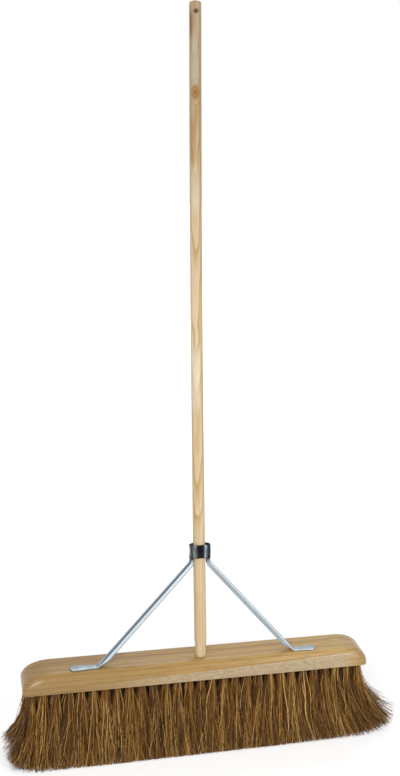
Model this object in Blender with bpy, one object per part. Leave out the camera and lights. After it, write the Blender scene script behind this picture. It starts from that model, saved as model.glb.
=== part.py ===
"""Coir platform broom: a wooden head set with five rows of coir tufts, a raked handle and a steel stay.

Metres, +Z up. The head lies along X and the viewer stands at -Y. The origin is on the floor, under the
middle tuft, where the cut tips of the bristles stand. The handle leans back, towards +Y.
"""

import math

import bmesh
import bpy
import numpy as np
from mathutils import Matrix, Vector

# Clearances between pieces that touch, and how far a cutter runs past what it cuts
GAP = 0.0003
HANDLE_PLAY = 0.0004
CUT_PAST = 0.005

# Wooden head
HEAD_LENGTH = 0.610
HEAD_DEPTH = 0.065
HEAD_THICKNESS = 0.032
CORNER_RADIUS = 0.016
EDGE_RADIUS = 0.013
END_ROUND_LENGTH = 0.045
END_FACE_HEIGHT = 0.0065
UNDERSIDE_CHAMFER = 0.001

# Tufts and the strands that stand for them
ROWS_EACH_WAY = 2
BRISTLE_LENGTH = 0.130
TUFT_PITCH = 0.0206
TUFT_END_MARGIN = 0.016
OUTER_ROW_INSET = 0.012
SLICE_THICKNESS = 0.004
SLICE_END_MARGIN = 0.0075
STRAND_SPACING = 0.0034
STRAND_ROOT_RADIUS = 0.0015
STRAND_TIP_RADIUS = 0.0014
STRAND_ROOT_SINK = 0.0015
STRAND_SIDES = 3
STRAND_TWIST = math.radians(137.5)
TUFT_SLANT = math.radians(35)
TUFT_SPREAD = 2.3
BEND_AT = 0.5
BEND_POWER = 1.5
DEPTH_SPLAY = 0.025
LEFT_SPLAY = 0.037
RIGHT_SPLAY = 0.067
SPLAY_POWER = 6
END_TIP_LIFT = 0.014
END_LIFT_POWER = 14

# Handle
HANDLE_REACH = 1.128
HANDLE_RADIUS = 0.0105
HANDLE_RAKE = math.radians(15)
HANDLE_ASIDE = 0.0024
HANDLE_OFFSET = -0.0015
SOCKET_FLOOR = 0.0046
SHOULDER_TOP = 0.040
SHOULDER_FOOT = 0.020
SPIGOT_RADIUS = 0.0094
SPIGOT_END_RADIUS = 0.0080
TOP_ROUND = 0.0035
HANG_HOLE_RADIUS = 0.0045
HANG_HOLE_FROM_TOP = 0.0165

# Stay: two pressed strips and the band round the handle
SHEET = 0.0013
LIP = 0.0004
LEG_WIDTH = 0.0085
LEG_DEPTH = 0.0086
LEG_CORNER = 0.0024
FLAT_CORNER = 0.001
LEFT_HEEL = 0.183
RIGHT_HEEL = 0.168
LEFT_FOOT_LENGTH = 0.0425
RIGHT_FOOT_LENGTH = 0.039
FOOT_WIDTH = 0.017
FOOT_NECK_WIDTH = 0.0115
FOOT_OFFSET = -0.013
UPRIGHT_WIDTH = 0.013
UPRIGHT_DROP = 0.007
PRESSING_RUN = 0.012
FOOT_BEND_RADIUS = 0.007
UPRIGHT_BEND_RADIUS = 0.010
COLLAR_CENTRE = 0.179
COLLAR_HEIGHT = 0.0225
COLLAR_SIDE_ROOM = 0.004
COLLAR_CORNER = 0.0085

# Fasteners
SCREW_HEAD_RADIUS = 0.0036
SCREW_HEAD_DEPTH = 0.0022
SCREW_HEAD_RIM = 0.0002
SCREW_RADIUS = 0.0017
SCREW_LENGTH = 0.017
SCREW_POINT = 0.004
SCREW_POINT_RADIUS = 0.0005
FOOT_SCREW_INSET = 0.0105
RIVET_RADIUS = 0.0020
RIVET_HEAD_RADIUS = 0.0036
RIVET_HEAD_HEIGHT = 0.0017
RIVET_TAIL_RADIUS = 0.0030
RIVET_TAIL_HEIGHT = 0.0012
DOME_TURN = math.radians(75)

# Facets
HANDLE_SIDES = 32
FASTENER_SIDES = 16
END_STEPS = 9
ARC_STEPS = 6
DOME_STEPS = 4
CORNER_STEPS = 3

# What follows from the sizes above
HEAD_BASE = BRISTLE_LENGTH
HEAD_TOP = HEAD_BASE + HEAD_THICKNESS
TUFTS_EACH_WAY = int((HEAD_LENGTH / 2 - TUFT_END_MARGIN) / TUFT_PITCH)
OUTER_TUFT = TUFTS_EACH_WAY * TUFT_PITCH
ROWS = 2 * ROWS_EACH_WAY + 1
OUTER_ROW = HEAD_DEPTH / 2 - OUTER_ROW_INSET
ROW_PITCH = OUTER_ROW / ROWS_EACH_WAY
SLICE_LENGTH = 2 * (OUTER_TUFT + SLICE_END_MARGIN)
SLICE_WIDTH = ROW_PITCH - GAP
POCKET_DEPTH = SLICE_THICKNESS + GAP
FLAT_DEPTH = SHEET + LIP
COLLAR_WIDTH = 2 * (HANDLE_RADIUS + COLLAR_SIDE_ROOM + SHEET)
COLLAR_DEPTH = 2 * (HANDLE_RADIUS + HANDLE_PLAY + SHEET)
UPRIGHT_FACE = COLLAR_WIDTH / 2 + GAP + FLAT_DEPTH
AXIS_FOOT = Vector((HANDLE_ASIDE, HANDLE_OFFSET, HEAD_TOP))
AXIS = Vector((0, math.sin(HANDLE_RAKE), math.cos(HANDLE_RAKE)))
ACROSS = Vector((0, math.cos(HANDLE_RAKE), -math.sin(HANDLE_RAKE)))
SOCKET_ROOM = HEAD_THICKNESS - POCKET_DEPTH - SOCKET_FLOOR
SOCKET_DEPTH = (SOCKET_ROOM - SPIGOT_END_RADIUS * AXIS.y) / AXIS.z

WOOD = (0.62, 0.44, 0.24)
PALE_WOOD = (0.78, 0.60, 0.38)
COIR = (0.36, 0.19, 0.07)
ZINC = (0.66, 0.69, 0.71)
DARK_ZINC = (0.20, 0.22, 0.24)


def clear_scene():
    for old in list(bpy.data.objects):
        bpy.data.objects.remove(old, do_unlink=True)


def material(name, colour, roughness, metallic=0.0):
    """A plain surface of this name, made once."""
    found = bpy.data.materials.get(name)
    if found:
        return found
    made = bpy.data.materials.new(name)
    made.use_nodes = True
    shader = made.node_tree.nodes["Principled BSDF"]
    shader.inputs["Base Color"].default_value = (*colour, 1)
    shader.inputs["Roughness"].default_value = roughness
    shader.inputs["Metallic"].default_value = metallic
    made.diffuse_color = (*colour, 1)
    return made


def varnished_wood():
    return material("varnished_wood", WOOD, 0.35)


def bare_wood():
    return material("handle_wood", PALE_WOOD, 0.5)


def coir():
    return material("coir", COIR, 0.9)


def bright_zinc():
    return material("bright_zinc", ZINC, 0.3, 1.0)


def dark_zinc():
    return material("dark_zinc", DARK_ZINC, 0.25, 1.0)


def add_piece(name, shape, finish, place=None, smooth=True):
    """An object from a bmesh, closed and facing out, at a place given as a matrix."""
    bmesh.ops.recalc_face_normals(shape, faces=shape.faces)
    mesh = bpy.data.meshes.new(name)
    shape.to_mesh(mesh)
    shape.free()
    if smooth:
        mesh.shade_smooth()
        mesh.set_sharp_from_angle(angle=math.radians(35))
    piece = bpy.data.objects.new(name, mesh)
    bpy.context.collection.objects.link(piece)
    piece.data.materials.append(finish)
    if place is not None:
        piece.matrix_world = place
    return piece


def helper(name, shape, place=None):
    """A cutter or another shape that is only used by a Boolean."""
    made = add_piece(name, shape, varnished_wood(), place, smooth=False)
    made.hide_render = True
    made.display_type = "WIRE"
    return made


def drill(name, radius, low, high, place, sides):
    """A round cutter along the place's own Z."""
    return helper(name, turned([(radius, low), (radius, high)], sides), place)


def boolean(piece, other, operation="DIFFERENCE"):
    step = piece.modifiers.new(f"{operation.lower()}_{other.name}", "BOOLEAN")
    step.operation = operation
    step.solver = "EXACT"
    step.object = other


def loft(rings):
    """A closed skin over rings of equally many points, with a flat cap on the first and the last."""
    shape = bmesh.new()
    rows = [[shape.verts.new(point) for point in ring] for ring in rings]
    for near, far in zip(rows, rows[1:]):
        for i in range(len(near)):
            j = (i + 1) % len(near)
            shape.faces.new((near[i], near[j], far[j], far[i]))
    shape.faces.new(reversed(rows[0]))
    shape.faces.new(rows[-1])
    return shape


def turned(profile, sides):
    """A solid turned round its own Z from (radius, height) pairs, each end closed by a flat disc."""
    turns = [2 * math.pi * i / sides for i in range(sides)]
    return loft(
        [[(r * math.cos(a), r * math.sin(a), z) for a in turns] for r, z in profile]
    )


def frame_at(point, z_axis, x_axis):
    """The matrix that puts local Z along z_axis and local X as near x_axis as it can be, at this point."""
    z = Vector(z_axis).normalized()
    y = z.cross(Vector(x_axis)).normalized()
    x = y.cross(z)
    turn = Matrix((x, y, z)).transposed().to_4x4()
    return Matrix.Translation(point) @ turn


def on_axis(height, side=0.0, across=0.0):
    """A point by its height along the handle above the head, and its distance from the handle's axis."""
    return AXIS_FOOT + AXIS * height + ACROSS * across + Vector((side, 0, 0))


def arc(centre, radius, start, end, steps):
    """Points of a circle's arc in a plane, with both ends."""
    return [
        (
            centre[0] + radius * math.cos(start + (end - start) * i / steps),
            centre[1] + radius * math.sin(start + (end - start) * i / steps),
        )
        for i in range(steps + 1)
    ]


def head_section(x):
    """The head's outline across its length: flat underside, upright sides and rounded upper edges."""
    past_round = max(0.0, abs(x) - (HEAD_LENGTH / 2 - END_ROUND_LENGTH)) / END_ROUND_LENGTH
    past_corner = max(0.0, abs(x) - (HEAD_LENGTH / 2 - CORNER_RADIUS))
    drop = HEAD_THICKNESS - END_FACE_HEIGHT
    top = HEAD_THICKNESS - drop * (1 - math.sqrt(max(0.0, 1 - past_round**2)))
    inset = CORNER_RADIUS - math.sqrt(max(0.0, CORNER_RADIUS**2 - past_corner**2))
    half = HEAD_DEPTH / 2 - inset
    edge = min(EDGE_RADIUS, top - 2 * UNDERSIDE_CHAMFER)
    right = [(half - UNDERSIDE_CHAMFER, 0.0), (half, UNDERSIDE_CHAMFER)]
    right += arc((half - edge, top - edge), edge, 0, math.pi / 2, ARC_STEPS)
    left = [(-y, z) for y, z in reversed(right)]
    return [(x, y, HEAD_BASE + z) for y, z in right + left]


def make_head():
    """The block: full section in the middle, and ends that are round in plan and drawn down on top."""
    turns = [math.pi / 2 * i / END_STEPS for i in range(END_STEPS + 1)]
    ends = [HEAD_LENGTH / 2 - END_ROUND_LENGTH * (1 - math.sin(a)) for a in turns]
    rings = [head_section(-x) for x in reversed(ends)] + [head_section(x) for x in ends]
    head = add_piece("head_block", loft(rings), varnished_wood())
    pocket = box(
        (0, 0, HEAD_BASE + (POCKET_DEPTH - CUT_PAST) / 2),
        (SLICE_LENGTH + 2 * GAP, ROWS * ROW_PITCH + GAP, POCKET_DEPTH + CUT_PAST),
    )
    boolean(head, helper("cutter_pocket", pocket))
    boolean(head, helper("cutter_socket", turned(socket_profile(), HANDLE_SIDES), handle_frame()))
    return head


def box(centre, size):
    shape = bmesh.new()
    bmesh.ops.create_cube(shape, size=1.0)
    bmesh.ops.scale(shape, vec=size, verts=shape.verts)
    bmesh.ops.translate(shape, vec=centre, verts=shape.verts)
    return shape


def handle_frame():
    """Local Z runs up the handle from the head's top, and local X is the head's length."""
    return frame_at(AXIS_FOOT, AXIS, (1, 0, 0))


def handle_profile():
    """The handle from the end in the socket to the rounded top, as (radius, height) pairs."""
    profile = [
        (SPIGOT_END_RADIUS, -SOCKET_DEPTH),
        (SPIGOT_RADIUS, 0.0),
        (SPIGOT_RADIUS, SHOULDER_FOOT),
    ]
    run = SHOULDER_TOP - SHOULDER_FOOT
    step = HANDLE_RADIUS - SPIGOT_RADIUS
    for i in range(1, ARC_STEPS + 1):
        share = i / ARC_STEPS
        profile.append(
            (SPIGOT_RADIUS + step * math.sin(share * math.pi / 2), SHOULDER_FOOT + run * share)
        )
    rounded_from = (HANDLE_RADIUS - TOP_ROUND, HANDLE_REACH - TOP_ROUND)
    return profile + arc(rounded_from, TOP_ROUND, 0, math.pi / 2, ARC_STEPS)


def socket_profile():
    """The bore in the head, which follows the tapered end of the handle and opens past the top."""
    slope = (SPIGOT_RADIUS - SPIGOT_END_RADIUS) / SOCKET_DEPTH
    depth = SOCKET_DEPTH + GAP
    return [
        (SPIGOT_RADIUS + GAP - slope * depth, -depth),
        (SPIGOT_RADIUS + GAP, 0.0),
        (SPIGOT_RADIUS + GAP, CUT_PAST),
    ]


def make_handle():
    handle = add_piece(
        "handle", turned(handle_profile(), HANDLE_SIDES), bare_wood(), handle_frame()
    )
    reach = HANDLE_RADIUS + CUT_PAST
    place = frame_at(on_axis(HANDLE_REACH - HANG_HOLE_FROM_TOP), ACROSS, (1, 0, 0))
    hole = drill("cutter_hang_hole", HANG_HOLE_RADIUS, -reach, reach, place, HANDLE_SIDES)
    boolean(handle, hole)
    return handle


def strip_section(width, depth):
    """The stay's pressed strip in (across, out) pairs: a trough whose back faces out."""
    half = width / 2
    formed = (depth - FLAT_DEPTH) / (LEG_DEPTH - FLAT_DEPTH)
    corner = FLAT_CORNER + (LEG_CORNER - FLAT_CORNER) * formed
    inner = min(LEG_CORNER - SHEET, (depth - SHEET) / 2)
    right = arc((half - corner, -corner), corner, math.pi / 2, 0, CORNER_STEPS)
    right += [(half, -depth), (half - SHEET, -depth)]
    right += [(half - SHEET, -SHEET - inner), (half - SHEET - inner, -SHEET)]
    return right + [(-a, b) for a, b in reversed(right)]


def bend(before, corner, after, radius, steps):
    """Points and directions along a round bend where two straight runs meet."""
    first = (corner - before).normalized()
    second = (after - corner).normalized()
    angle = first.angle(second)
    towards = (second - first * math.cos(angle)) / math.sin(angle)
    start = corner - first * radius * math.tan(angle / 2)
    centre = start + towards * radius
    found = []
    for i in range(steps + 1):
        a = angle * i / steps
        spot = centre + (first * math.sin(a) - towards * math.cos(a)) * radius
        found.append((spot, first * math.cos(a) + towards * math.sin(a)))
    return found


def foot_sizes(side):
    """How far out the leg meets its foot, and the foot's length. The left leg is set a little wider."""
    if side < 0:
        return LEFT_HEEL, LEFT_FOOT_LENGTH
    return RIGHT_HEEL, RIGHT_FOOT_LENGTH


def stay_route(side):
    """The four corners of the strip's outer face: foot end, foot bend, upright bend and top."""
    heel, foot_length = foot_sizes(side)
    top_of_foot = HEAD_TOP + GAP + FLAT_DEPTH
    collar_foot = COLLAR_CENTRE - COLLAR_HEIGHT / 2
    return (
        Vector((side * (heel + foot_length), FOOT_OFFSET, top_of_foot)),
        Vector((side * heel, FOOT_OFFSET, top_of_foot)),
        on_axis(collar_foot - UPRIGHT_DROP, side * UPRIGHT_FACE),
        on_axis(collar_foot + COLLAR_HEIGHT, side * UPRIGHT_FACE),
    )


def strip_axes(way, side):
    """The directions across the strip and out of its back, where it runs this way."""
    level = Vector((0, -side, 0))
    across = (level - way * way.dot(level)).normalized()
    return across, way.cross(across)


def stay_stations(side):
    """(point, direction, width, depth) along the strip, from the round end of the foot to the top."""
    end, heel, shoulder, top = stay_route(side)
    along = (heel - end).normalized()
    up = (shoulder - heel).normalized()
    stations = []
    for i in range(1, ARC_STEPS + 1):
        a = math.pi / 2 * i / ARC_STEPS
        spot = end + along * FOOT_WIDTH / 2 * (1 - math.cos(a))
        stations.append((spot, along, FOOT_WIDTH * math.sin(a), FLAT_DEPTH))
    lower = bend(end, heel, shoulder, FOOT_BEND_RADIUS, ARC_STEPS)
    for spot, way in lower:
        across, out = strip_axes(way, side)
        room = spot.z - heel.z + FLAT_DEPTH - abs(across.z) * FOOT_NECK_WIDTH / 2
        stations.append((spot, way, FOOT_NECK_WIDTH, min(LEG_DEPTH, room / abs(out.z))))
    upper = bend(heel, shoulder, top, UPRIGHT_BEND_RADIUS, ARC_STEPS)
    stations.append((lower[-1][0] + up * PRESSING_RUN, up, LEG_WIDTH, LEG_DEPTH))
    stations.append((upper[0][0] - up * PRESSING_RUN, up, LEG_WIDTH, LEG_DEPTH))
    for i, (spot, way) in enumerate(upper):
        depth = LEG_DEPTH + (FLAT_DEPTH - LEG_DEPTH) * i / ARC_STEPS
        width = LEG_WIDTH + (UPRIGHT_WIDTH - LEG_WIDTH) * i / ARC_STEPS
        stations.append((spot, way, width, depth))
    stations.append((top, AXIS, UPRIGHT_WIDTH, FLAT_DEPTH))
    return stations


def stay_rings(side):
    """The strip's sections in space. side is -1 for the left one and 1 for the right one."""
    rings = []
    for spot, way, width, depth in stay_stations(side):
        across, out = strip_axes(way, side)
        rings.append([spot + across * a + out * b for a, b in strip_section(width, depth)])
    return rings


def dome(radius, height, base):
    """A round head's profile from its rim at this base to the small flat on its top."""
    return [(radius * c, base + height * s) for c, s in arc((0, 0), 1, 0, DOME_TURN, DOME_STEPS)]


def shank_profile(clearance):
    """The pointed end of a wood screw, or of the hole round it, from the point up."""
    low = -SCREW_LENGTH - clearance
    return [
        (SCREW_POINT_RADIUS + clearance, low),
        (SCREW_RADIUS + clearance, low + SCREW_POINT),
    ]


def countersunk_profile(clearance=0.0):
    """A flat-headed wood screw turned round Z, its face at height 0, or the hole round it."""
    return shank_profile(clearance) + [
        (SCREW_RADIUS + clearance, -SCREW_HEAD_DEPTH),
        (SCREW_HEAD_RADIUS + clearance, -SCREW_HEAD_RIM),
        (SCREW_HEAD_RADIUS + clearance, 2 * clearance),
    ]


def round_head_profile():
    """A round-headed wood screw turned round Z, the underside of its head at height 0."""
    seat = [(SCREW_RADIUS, 0.0)]
    return shank_profile(0.0) + seat + dome(SCREW_HEAD_RADIUS, SCREW_HEAD_DEPTH, 0.0)


def make_foot_screws(side, stay, head, word):
    """Two countersunk screws through the foot into the head, each in a seat cut in both."""
    face = HEAD_TOP + GAP + FLAT_DEPTH
    heel, foot_length = foot_sizes(side)
    for number, inset in enumerate((FOOT_SCREW_INSET, foot_length - FOOT_SCREW_INSET), 1):
        x = side * (heel + foot_length - inset)
        place = Matrix.Translation((x, FOOT_OFFSET, face))
        name = f"foot_screw_{word}_{number}"
        add_piece(name, turned(countersunk_profile(), FASTENER_SIDES), bright_zinc(), place)
        seat = turned(countersunk_profile(GAP), FASTENER_SIDES)
        cutter = helper(f"cutter_{name}", seat, place)
        boolean(stay, cutter)
        boolean(head, cutter)


def collar_outline(width, depth, corner):
    """A rounded rectangle in (side, across) pairs."""
    x, y = width / 2 - corner, depth / 2 - corner
    points = []
    for cx, cy, start in ((x, y, 0), (-x, y, 1), (-x, -y, 2), (x, -y, 3)):
        turn = start * math.pi / 2
        points += arc((cx, cy), corner, turn, turn + math.pi / 2, ARC_STEPS)
    return points


def make_collar():
    """The band: one strip bent round the handle and both uprights' inner faces, wider than it is deep."""
    outer = collar_outline(COLLAR_WIDTH, COLLAR_DEPTH, COLLAR_CORNER)
    inner = collar_outline(
        COLLAR_WIDTH - 2 * SHEET, COLLAR_DEPTH - 2 * SHEET, COLLAR_CORNER - SHEET
    )
    shape = bmesh.new()
    loops = []
    for outline, height in ((outer, 0), (outer, 1), (inner, 1), (inner, 0)):
        z = (height - 0.5) * COLLAR_HEIGHT
        loops.append([shape.verts.new((x, y, z)) for x, y in outline])
    for near, far in zip(loops, loops[1:] + loops[:1]):
        for i in range(len(near)):
            j = (i + 1) % len(near)
            shape.faces.new((near[i], near[j], far[j], far[i]))
    place = frame_at(on_axis(COLLAR_CENTRE), AXIS, (1, 0, 0))
    return add_piece("collar", shape, dark_zinc(), place)


def make_rivet(side, stay, collar, word):
    """A rivet whose round head and formed tail clamp the upright to the band."""
    grip = SHEET + GAP + FLAT_DEPTH
    tail = dome(RIVET_TAIL_RADIUS, -RIVET_TAIL_HEIGHT, -GAP)
    profile = tail[::-1] + [(RIVET_RADIUS, -GAP), (RIVET_RADIUS, grip + GAP)]
    profile += dome(RIVET_HEAD_RADIUS, RIVET_HEAD_HEIGHT, grip + GAP)
    inner_face = COLLAR_WIDTH / 2 - SHEET
    place = frame_at(on_axis(COLLAR_CENTRE, side * inner_face), (side, 0, 0), AXIS)
    name = f"rivet_{word}"
    add_piece(name, turned(profile, FASTENER_SIDES), bright_zinc(), place)
    radius = RIVET_RADIUS + GAP
    hole = drill(f"cutter_{name}", radius, -CUT_PAST, grip + CUT_PAST, place, FASTENER_SIDES)
    boolean(stay, hole)
    boolean(collar, hole)


def make_collar_screw(handle, collar):
    """The round-head screw at the back that keeps the handle from slipping in the band."""
    face = on_axis(COLLAR_CENTRE, 0, COLLAR_DEPTH / 2 + GAP)
    place = frame_at(face, ACROSS, (1, 0, 0))
    add_piece("collar_screw", turned(round_head_profile(), FASTENER_SIDES), bright_zinc(), place)
    radius = SCREW_RADIUS + GAP
    depth = SCREW_LENGTH + GAP
    hole = drill("cutter_collar_screw", radius, -depth, CUT_PAST, place, FASTENER_SIDES)
    boolean(handle, hole)
    boolean(collar, hole)


def tip_of(root_x, root_y):
    """Where a bristle that starts at this place in the head ends: splayed to the sides and at both ends."""
    reach = abs(root_x) / OUTER_TUFT
    splay = LEFT_SPLAY if root_x < 0 else RIGHT_SPLAY
    x = root_x + math.copysign(splay * reach**SPLAY_POWER, root_x)
    y = root_y * (1 + DEPTH_SPLAY / OUTER_ROW)
    return x, y, END_TIP_LIFT * min(1.0, reach) ** END_LIFT_POWER


def tuft_places(row):
    """The tufts' places in one row, counted from the middle row. Odd rows sit half a pitch along."""
    shift = 0.5 * (row % 2)
    count = 2 * TUFTS_EACH_WAY + (0 if row % 2 else 1)
    return [((i - TUFTS_EACH_WAY + shift) * TUFT_PITCH, row * ROW_PITCH) for i in range(count)]


def strands_of(row):
    """The (root, tip) pairs of one row's strands, three in each tuft, side by side on a slant."""
    pairs = []
    for number, (x, y) in enumerate(tuft_places(row)):
        slant = TUFT_SLANT if number % 2 else -TUFT_SLANT
        tip_x, tip_y, tip_z = tip_of(x, y)
        for place in (-1, 0, 1):
            dx = place * STRAND_SPACING * math.cos(slant)
            dy = place * STRAND_SPACING * math.sin(slant)
            tip = (tip_x + TUFT_SPREAD * dx, tip_y + TUFT_SPREAD * dy, tip_z)
            pairs.append(((x + dx, y + dy, HEAD_BASE + STRAND_ROOT_SINK), tip))
    return pairs


def strand_point(root, tip, share):
    """A point along a strand, which leaves the head almost straight down and then leans out."""
    lean = share**BEND_POWER
    return (
        root[0] + (tip[0] - root[0]) * lean,
        root[1] + (tip[1] - root[1]) * lean,
        root[2] + (tip[2] - root[2]) * share,
    )


def strand_radius(share):
    return STRAND_ROOT_RADIUS + (STRAND_TIP_RADIUS - STRAND_ROOT_RADIUS) * share


def add_strand(shape, root, tip, turn):
    """One tapered strand with few sides, cut level at both ends."""
    rings = []
    for share in (0, BEND_AT, 1):
        x, y, z = strand_point(root, tip, share)
        radius = strand_radius(share)
        ring = []
        for corner in range(STRAND_SIDES):
            a = turn + 2 * math.pi * corner / STRAND_SIDES
            ring.append(shape.verts.new((x + radius * math.cos(a), y + radius * math.sin(a), z)))
        rings.append(ring)
    for high, low in zip(rings, rings[1:]):
        for i in range(STRAND_SIDES):
            j = (i + 1) % STRAND_SIDES
            shape.faces.new((high[i], low[i], low[j], high[j]))
    shape.faces.new(rings[0])
    shape.faces.new(reversed(rings[-1]))


def make_bristle_row(row):
    """One row: its slice of the head's underside, with every strand of the row fused to it."""
    name = f"bristle_row_{row + ROWS_EACH_WAY + 1}"
    centre = (0, row * ROW_PITCH, HEAD_BASE + SLICE_THICKNESS / 2)
    piece = add_piece(
        name, box(centre, (SLICE_LENGTH, SLICE_WIDTH, SLICE_THICKNESS)), coir(), smooth=False
    )
    shape = bmesh.new()
    for number, (root, tip) in enumerate(strands_of(row)):
        add_strand(shape, root, tip, number * STRAND_TWIST)
    boolean(piece, helper(f"strands_{name}", shape), "UNION")


def least_strand_gap(rows):
    """The least room between any two strands, taken level by level with each as a round of its radius."""
    pairs = [pair for row in rows for pair in strands_of(row)]
    least = math.inf
    levels = 2 * ARC_STEPS
    for share in np.linspace(0, 1, levels + 1):
        spots = np.array([strand_point(root, tip, share)[:2] for root, tip in pairs])
        apart = np.linalg.norm(spots[:, None] - spots[None], axis=2)
        np.fill_diagonal(apart, math.inf)
        least = min(least, apart.min() - 2 * strand_radius(share))
    return len(pairs), least


def main():
    clear_scene()
    head = make_head()
    handle = make_handle()
    collar = make_collar()
    for side, word in ((-1, "left"), (1, "right")):
        stay = add_piece(f"stay_{word}", loft(stay_rings(side)), bright_zinc())
        make_foot_screws(side, stay, head, word)
        make_rivet(side, stay, collar, word)
    make_collar_screw(handle, collar)
    rows = range(-ROWS_EACH_WAY, ROWS_EACH_WAY + 1)
    for row in rows:
        make_bristle_row(row)
    count, least = least_strand_gap(rows)
    print(f"{count} strands, least gap {least * 1000:.2f} mm")


main()
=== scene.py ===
# %% [markdown]
# # A coir platform broom, dressed for the camera
# The object is a wide broom for yards and halls: a varnished wooden head set with tufts of coconut fibre,
# a long bare wooden handle that leans back, and a steel stay that braces the handle to the head.
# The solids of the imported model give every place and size. This script gives the surfaces: fibres by the
# thousand, wood with grain, pressed and plated steel.

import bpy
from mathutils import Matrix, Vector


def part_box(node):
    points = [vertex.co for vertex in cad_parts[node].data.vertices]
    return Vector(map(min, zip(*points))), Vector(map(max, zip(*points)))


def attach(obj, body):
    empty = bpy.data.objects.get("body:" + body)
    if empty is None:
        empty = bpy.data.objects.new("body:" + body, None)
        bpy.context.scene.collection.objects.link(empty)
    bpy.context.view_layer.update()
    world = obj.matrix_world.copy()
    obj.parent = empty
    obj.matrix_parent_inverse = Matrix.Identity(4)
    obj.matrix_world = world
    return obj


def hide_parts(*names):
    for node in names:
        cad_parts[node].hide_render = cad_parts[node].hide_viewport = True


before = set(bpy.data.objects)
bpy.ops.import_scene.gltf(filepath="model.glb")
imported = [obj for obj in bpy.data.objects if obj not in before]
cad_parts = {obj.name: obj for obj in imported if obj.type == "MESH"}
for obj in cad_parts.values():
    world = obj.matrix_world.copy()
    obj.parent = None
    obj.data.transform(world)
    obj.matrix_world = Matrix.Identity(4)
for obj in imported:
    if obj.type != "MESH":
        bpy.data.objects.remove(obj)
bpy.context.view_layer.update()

import math

import bmesh
import bpy
import numpy as np
from mathutils import Matrix, Vector

bpy.ops.object.select_all(action="DESELECT")

# %% [markdown]
# ## The camera
# The broom was photographed a little turned and tipped forward, so that its handle stands upright in the
# picture. It is easiest to think of a level camera and a broom that is turned in front of it. The camera's
# place in the broom's own frame is then the inverse of that turn. All the numbers are from a fit to the
# head's outline and the handle.

# %% Camera
PHOTO_HEIGHT = 776
FOCAL_PIXELS = 1000.0
HORIZON_ROW = 328.7
BROOM_TURN = math.radians(13.99)
BROOM_TIP = math.radians(15.0)
BROOM_ROLL = 0.0083
CAMERA_BACK = 1.7384
CAMERA_ASIDE = 0.0033
CAMERA_ABOVE = 0.5929
SENSOR = 36.0

head_low, head_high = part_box("head_block")
HEAD_BASE = head_low.z
HEAD_TOP = head_high.z
turn = (
    Matrix.Rotation(-BROOM_ROLL, 3, "Y")
    @ Matrix.Rotation(BROOM_TURN, 3, "Z")
    @ Matrix.Rotation(BROOM_TIP, 3, "X")
)
camera_spot = turn.transposed() @ Vector((CAMERA_ASIDE, -CAMERA_BACK, CAMERA_ABOVE))
camera_spot.z += head_low.z
level = turn.transposed() @ Matrix.Rotation(math.pi / 2, 3, "X")
bpy.ops.object.camera_add()
camera = bpy.context.object
camera.name = "camera"
camera.matrix_world = Matrix.Translation(camera_spot) @ level.to_4x4()
camera.data.sensor_width = SENSOR
camera.data.lens = SENSOR * FOCAL_PIXELS / PHOTO_HEIGHT
camera.data.shift_y = -(PHOTO_HEIGHT / 2 - HORIZON_ROW) / PHOTO_HEIGHT
camera.data.clip_end = 50
bpy.context.scene.camera = camera
bpy.context.scene.view_settings.view_transform = "Standard"
print("camera at", tuple(round(c, 4) for c in camera_spot), "lens", round(camera.data.lens, 2))

# %% [markdown]
# ## Small helpers for node materials
# A material here is a tree of nodes made in code. A few helpers keep that short: one makes a material with
# its shader, one adds a node with its inputs set, and the others do sums, colour ramps and blends. They all
# add to the tree in hand, which is that of the newest material. A stop of a ramp is a position, followed by
# a grey from 0 to 1 or by a colour as seen on a screen.

# %% Node helpers
def srgb(red, green, blue):
    """A colour as seen on a screen, 0 to 255, as the linear colour that a shader takes."""
    return tuple(
        c / 12.92 if c <= 0.04045 else ((c + 0.055) / 1.055) ** 2.4
        for c in (red / 255, green / 255, blue / 255)
    ) + (1.0,)


def grey(level):
    return (level, level, level, 1.0)


def new_material(name, **sockets):
    """A material with one Principled shader, its plain sockets set by name. Its tree is the one in hand."""
    global tree
    made = bpy.data.materials.new(name)
    made.use_nodes = True
    tree = made.node_tree
    shader = tree.nodes["Principled BSDF"]
    for socket, value in sockets.items():
        shader.inputs[socket.replace("_", " ")].default_value = value
    return made, shader


def put(socket, value):
    """Links another node's output to this socket, or sets the socket to a plain value."""
    if isinstance(value, bpy.types.NodeSocket):
        tree.links.new(value, socket)
    else:
        socket.default_value = value


def node(kind, options=None, **inputs):
    """A node of this kind with options set and inputs set or linked. Input a_b is socket 'a b'."""
    made = tree.nodes.new("ShaderNode" + kind)
    for option, value in (options or {}).items():
        setattr(made, option, value)
    for name, value in inputs.items():
        key = int(name[1:]) if name[0] == "i" and name[1:].isdigit() else name.replace("_", " ")
        put(made.inputs[key], value)
    return made


def math_node(operation, *terms):
    """The result of one sum on numbers or sockets."""
    made = node("Math", {"operation": operation})
    for socket, term in zip(made.inputs, terms):
        put(socket, term)
    return made.outputs[0]


def times(first, *others):
    """The product of two or more numbers or sockets."""
    for other in others:
        first = math_node("MULTIPLY", first, other)
    return first


def step(value, start, end, first=0.0, last=1.0, kind="LINEAR"):
    """A passage from the first number to the last where the value goes from start to end."""
    stops = {"From_Min": start, "From_Max": end, "To_Min": first, "To_Max": last}
    return node("MapRange", {"interpolation_type": kind}, Value=value, **stops).outputs[0]


def smooth_step(value, start, end, first=0.0, last=1.0):
    return step(value, start, end, first, last, "SMOOTHSTEP")


def between(value, low, high, soft):
    """1 between low and high, 0 outside, with soft edges."""
    rise = smooth_step(value, low - soft, low + soft)
    return times(rise, smooth_step(value, high - soft, high + soft, 1.0, 0.0))


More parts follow.
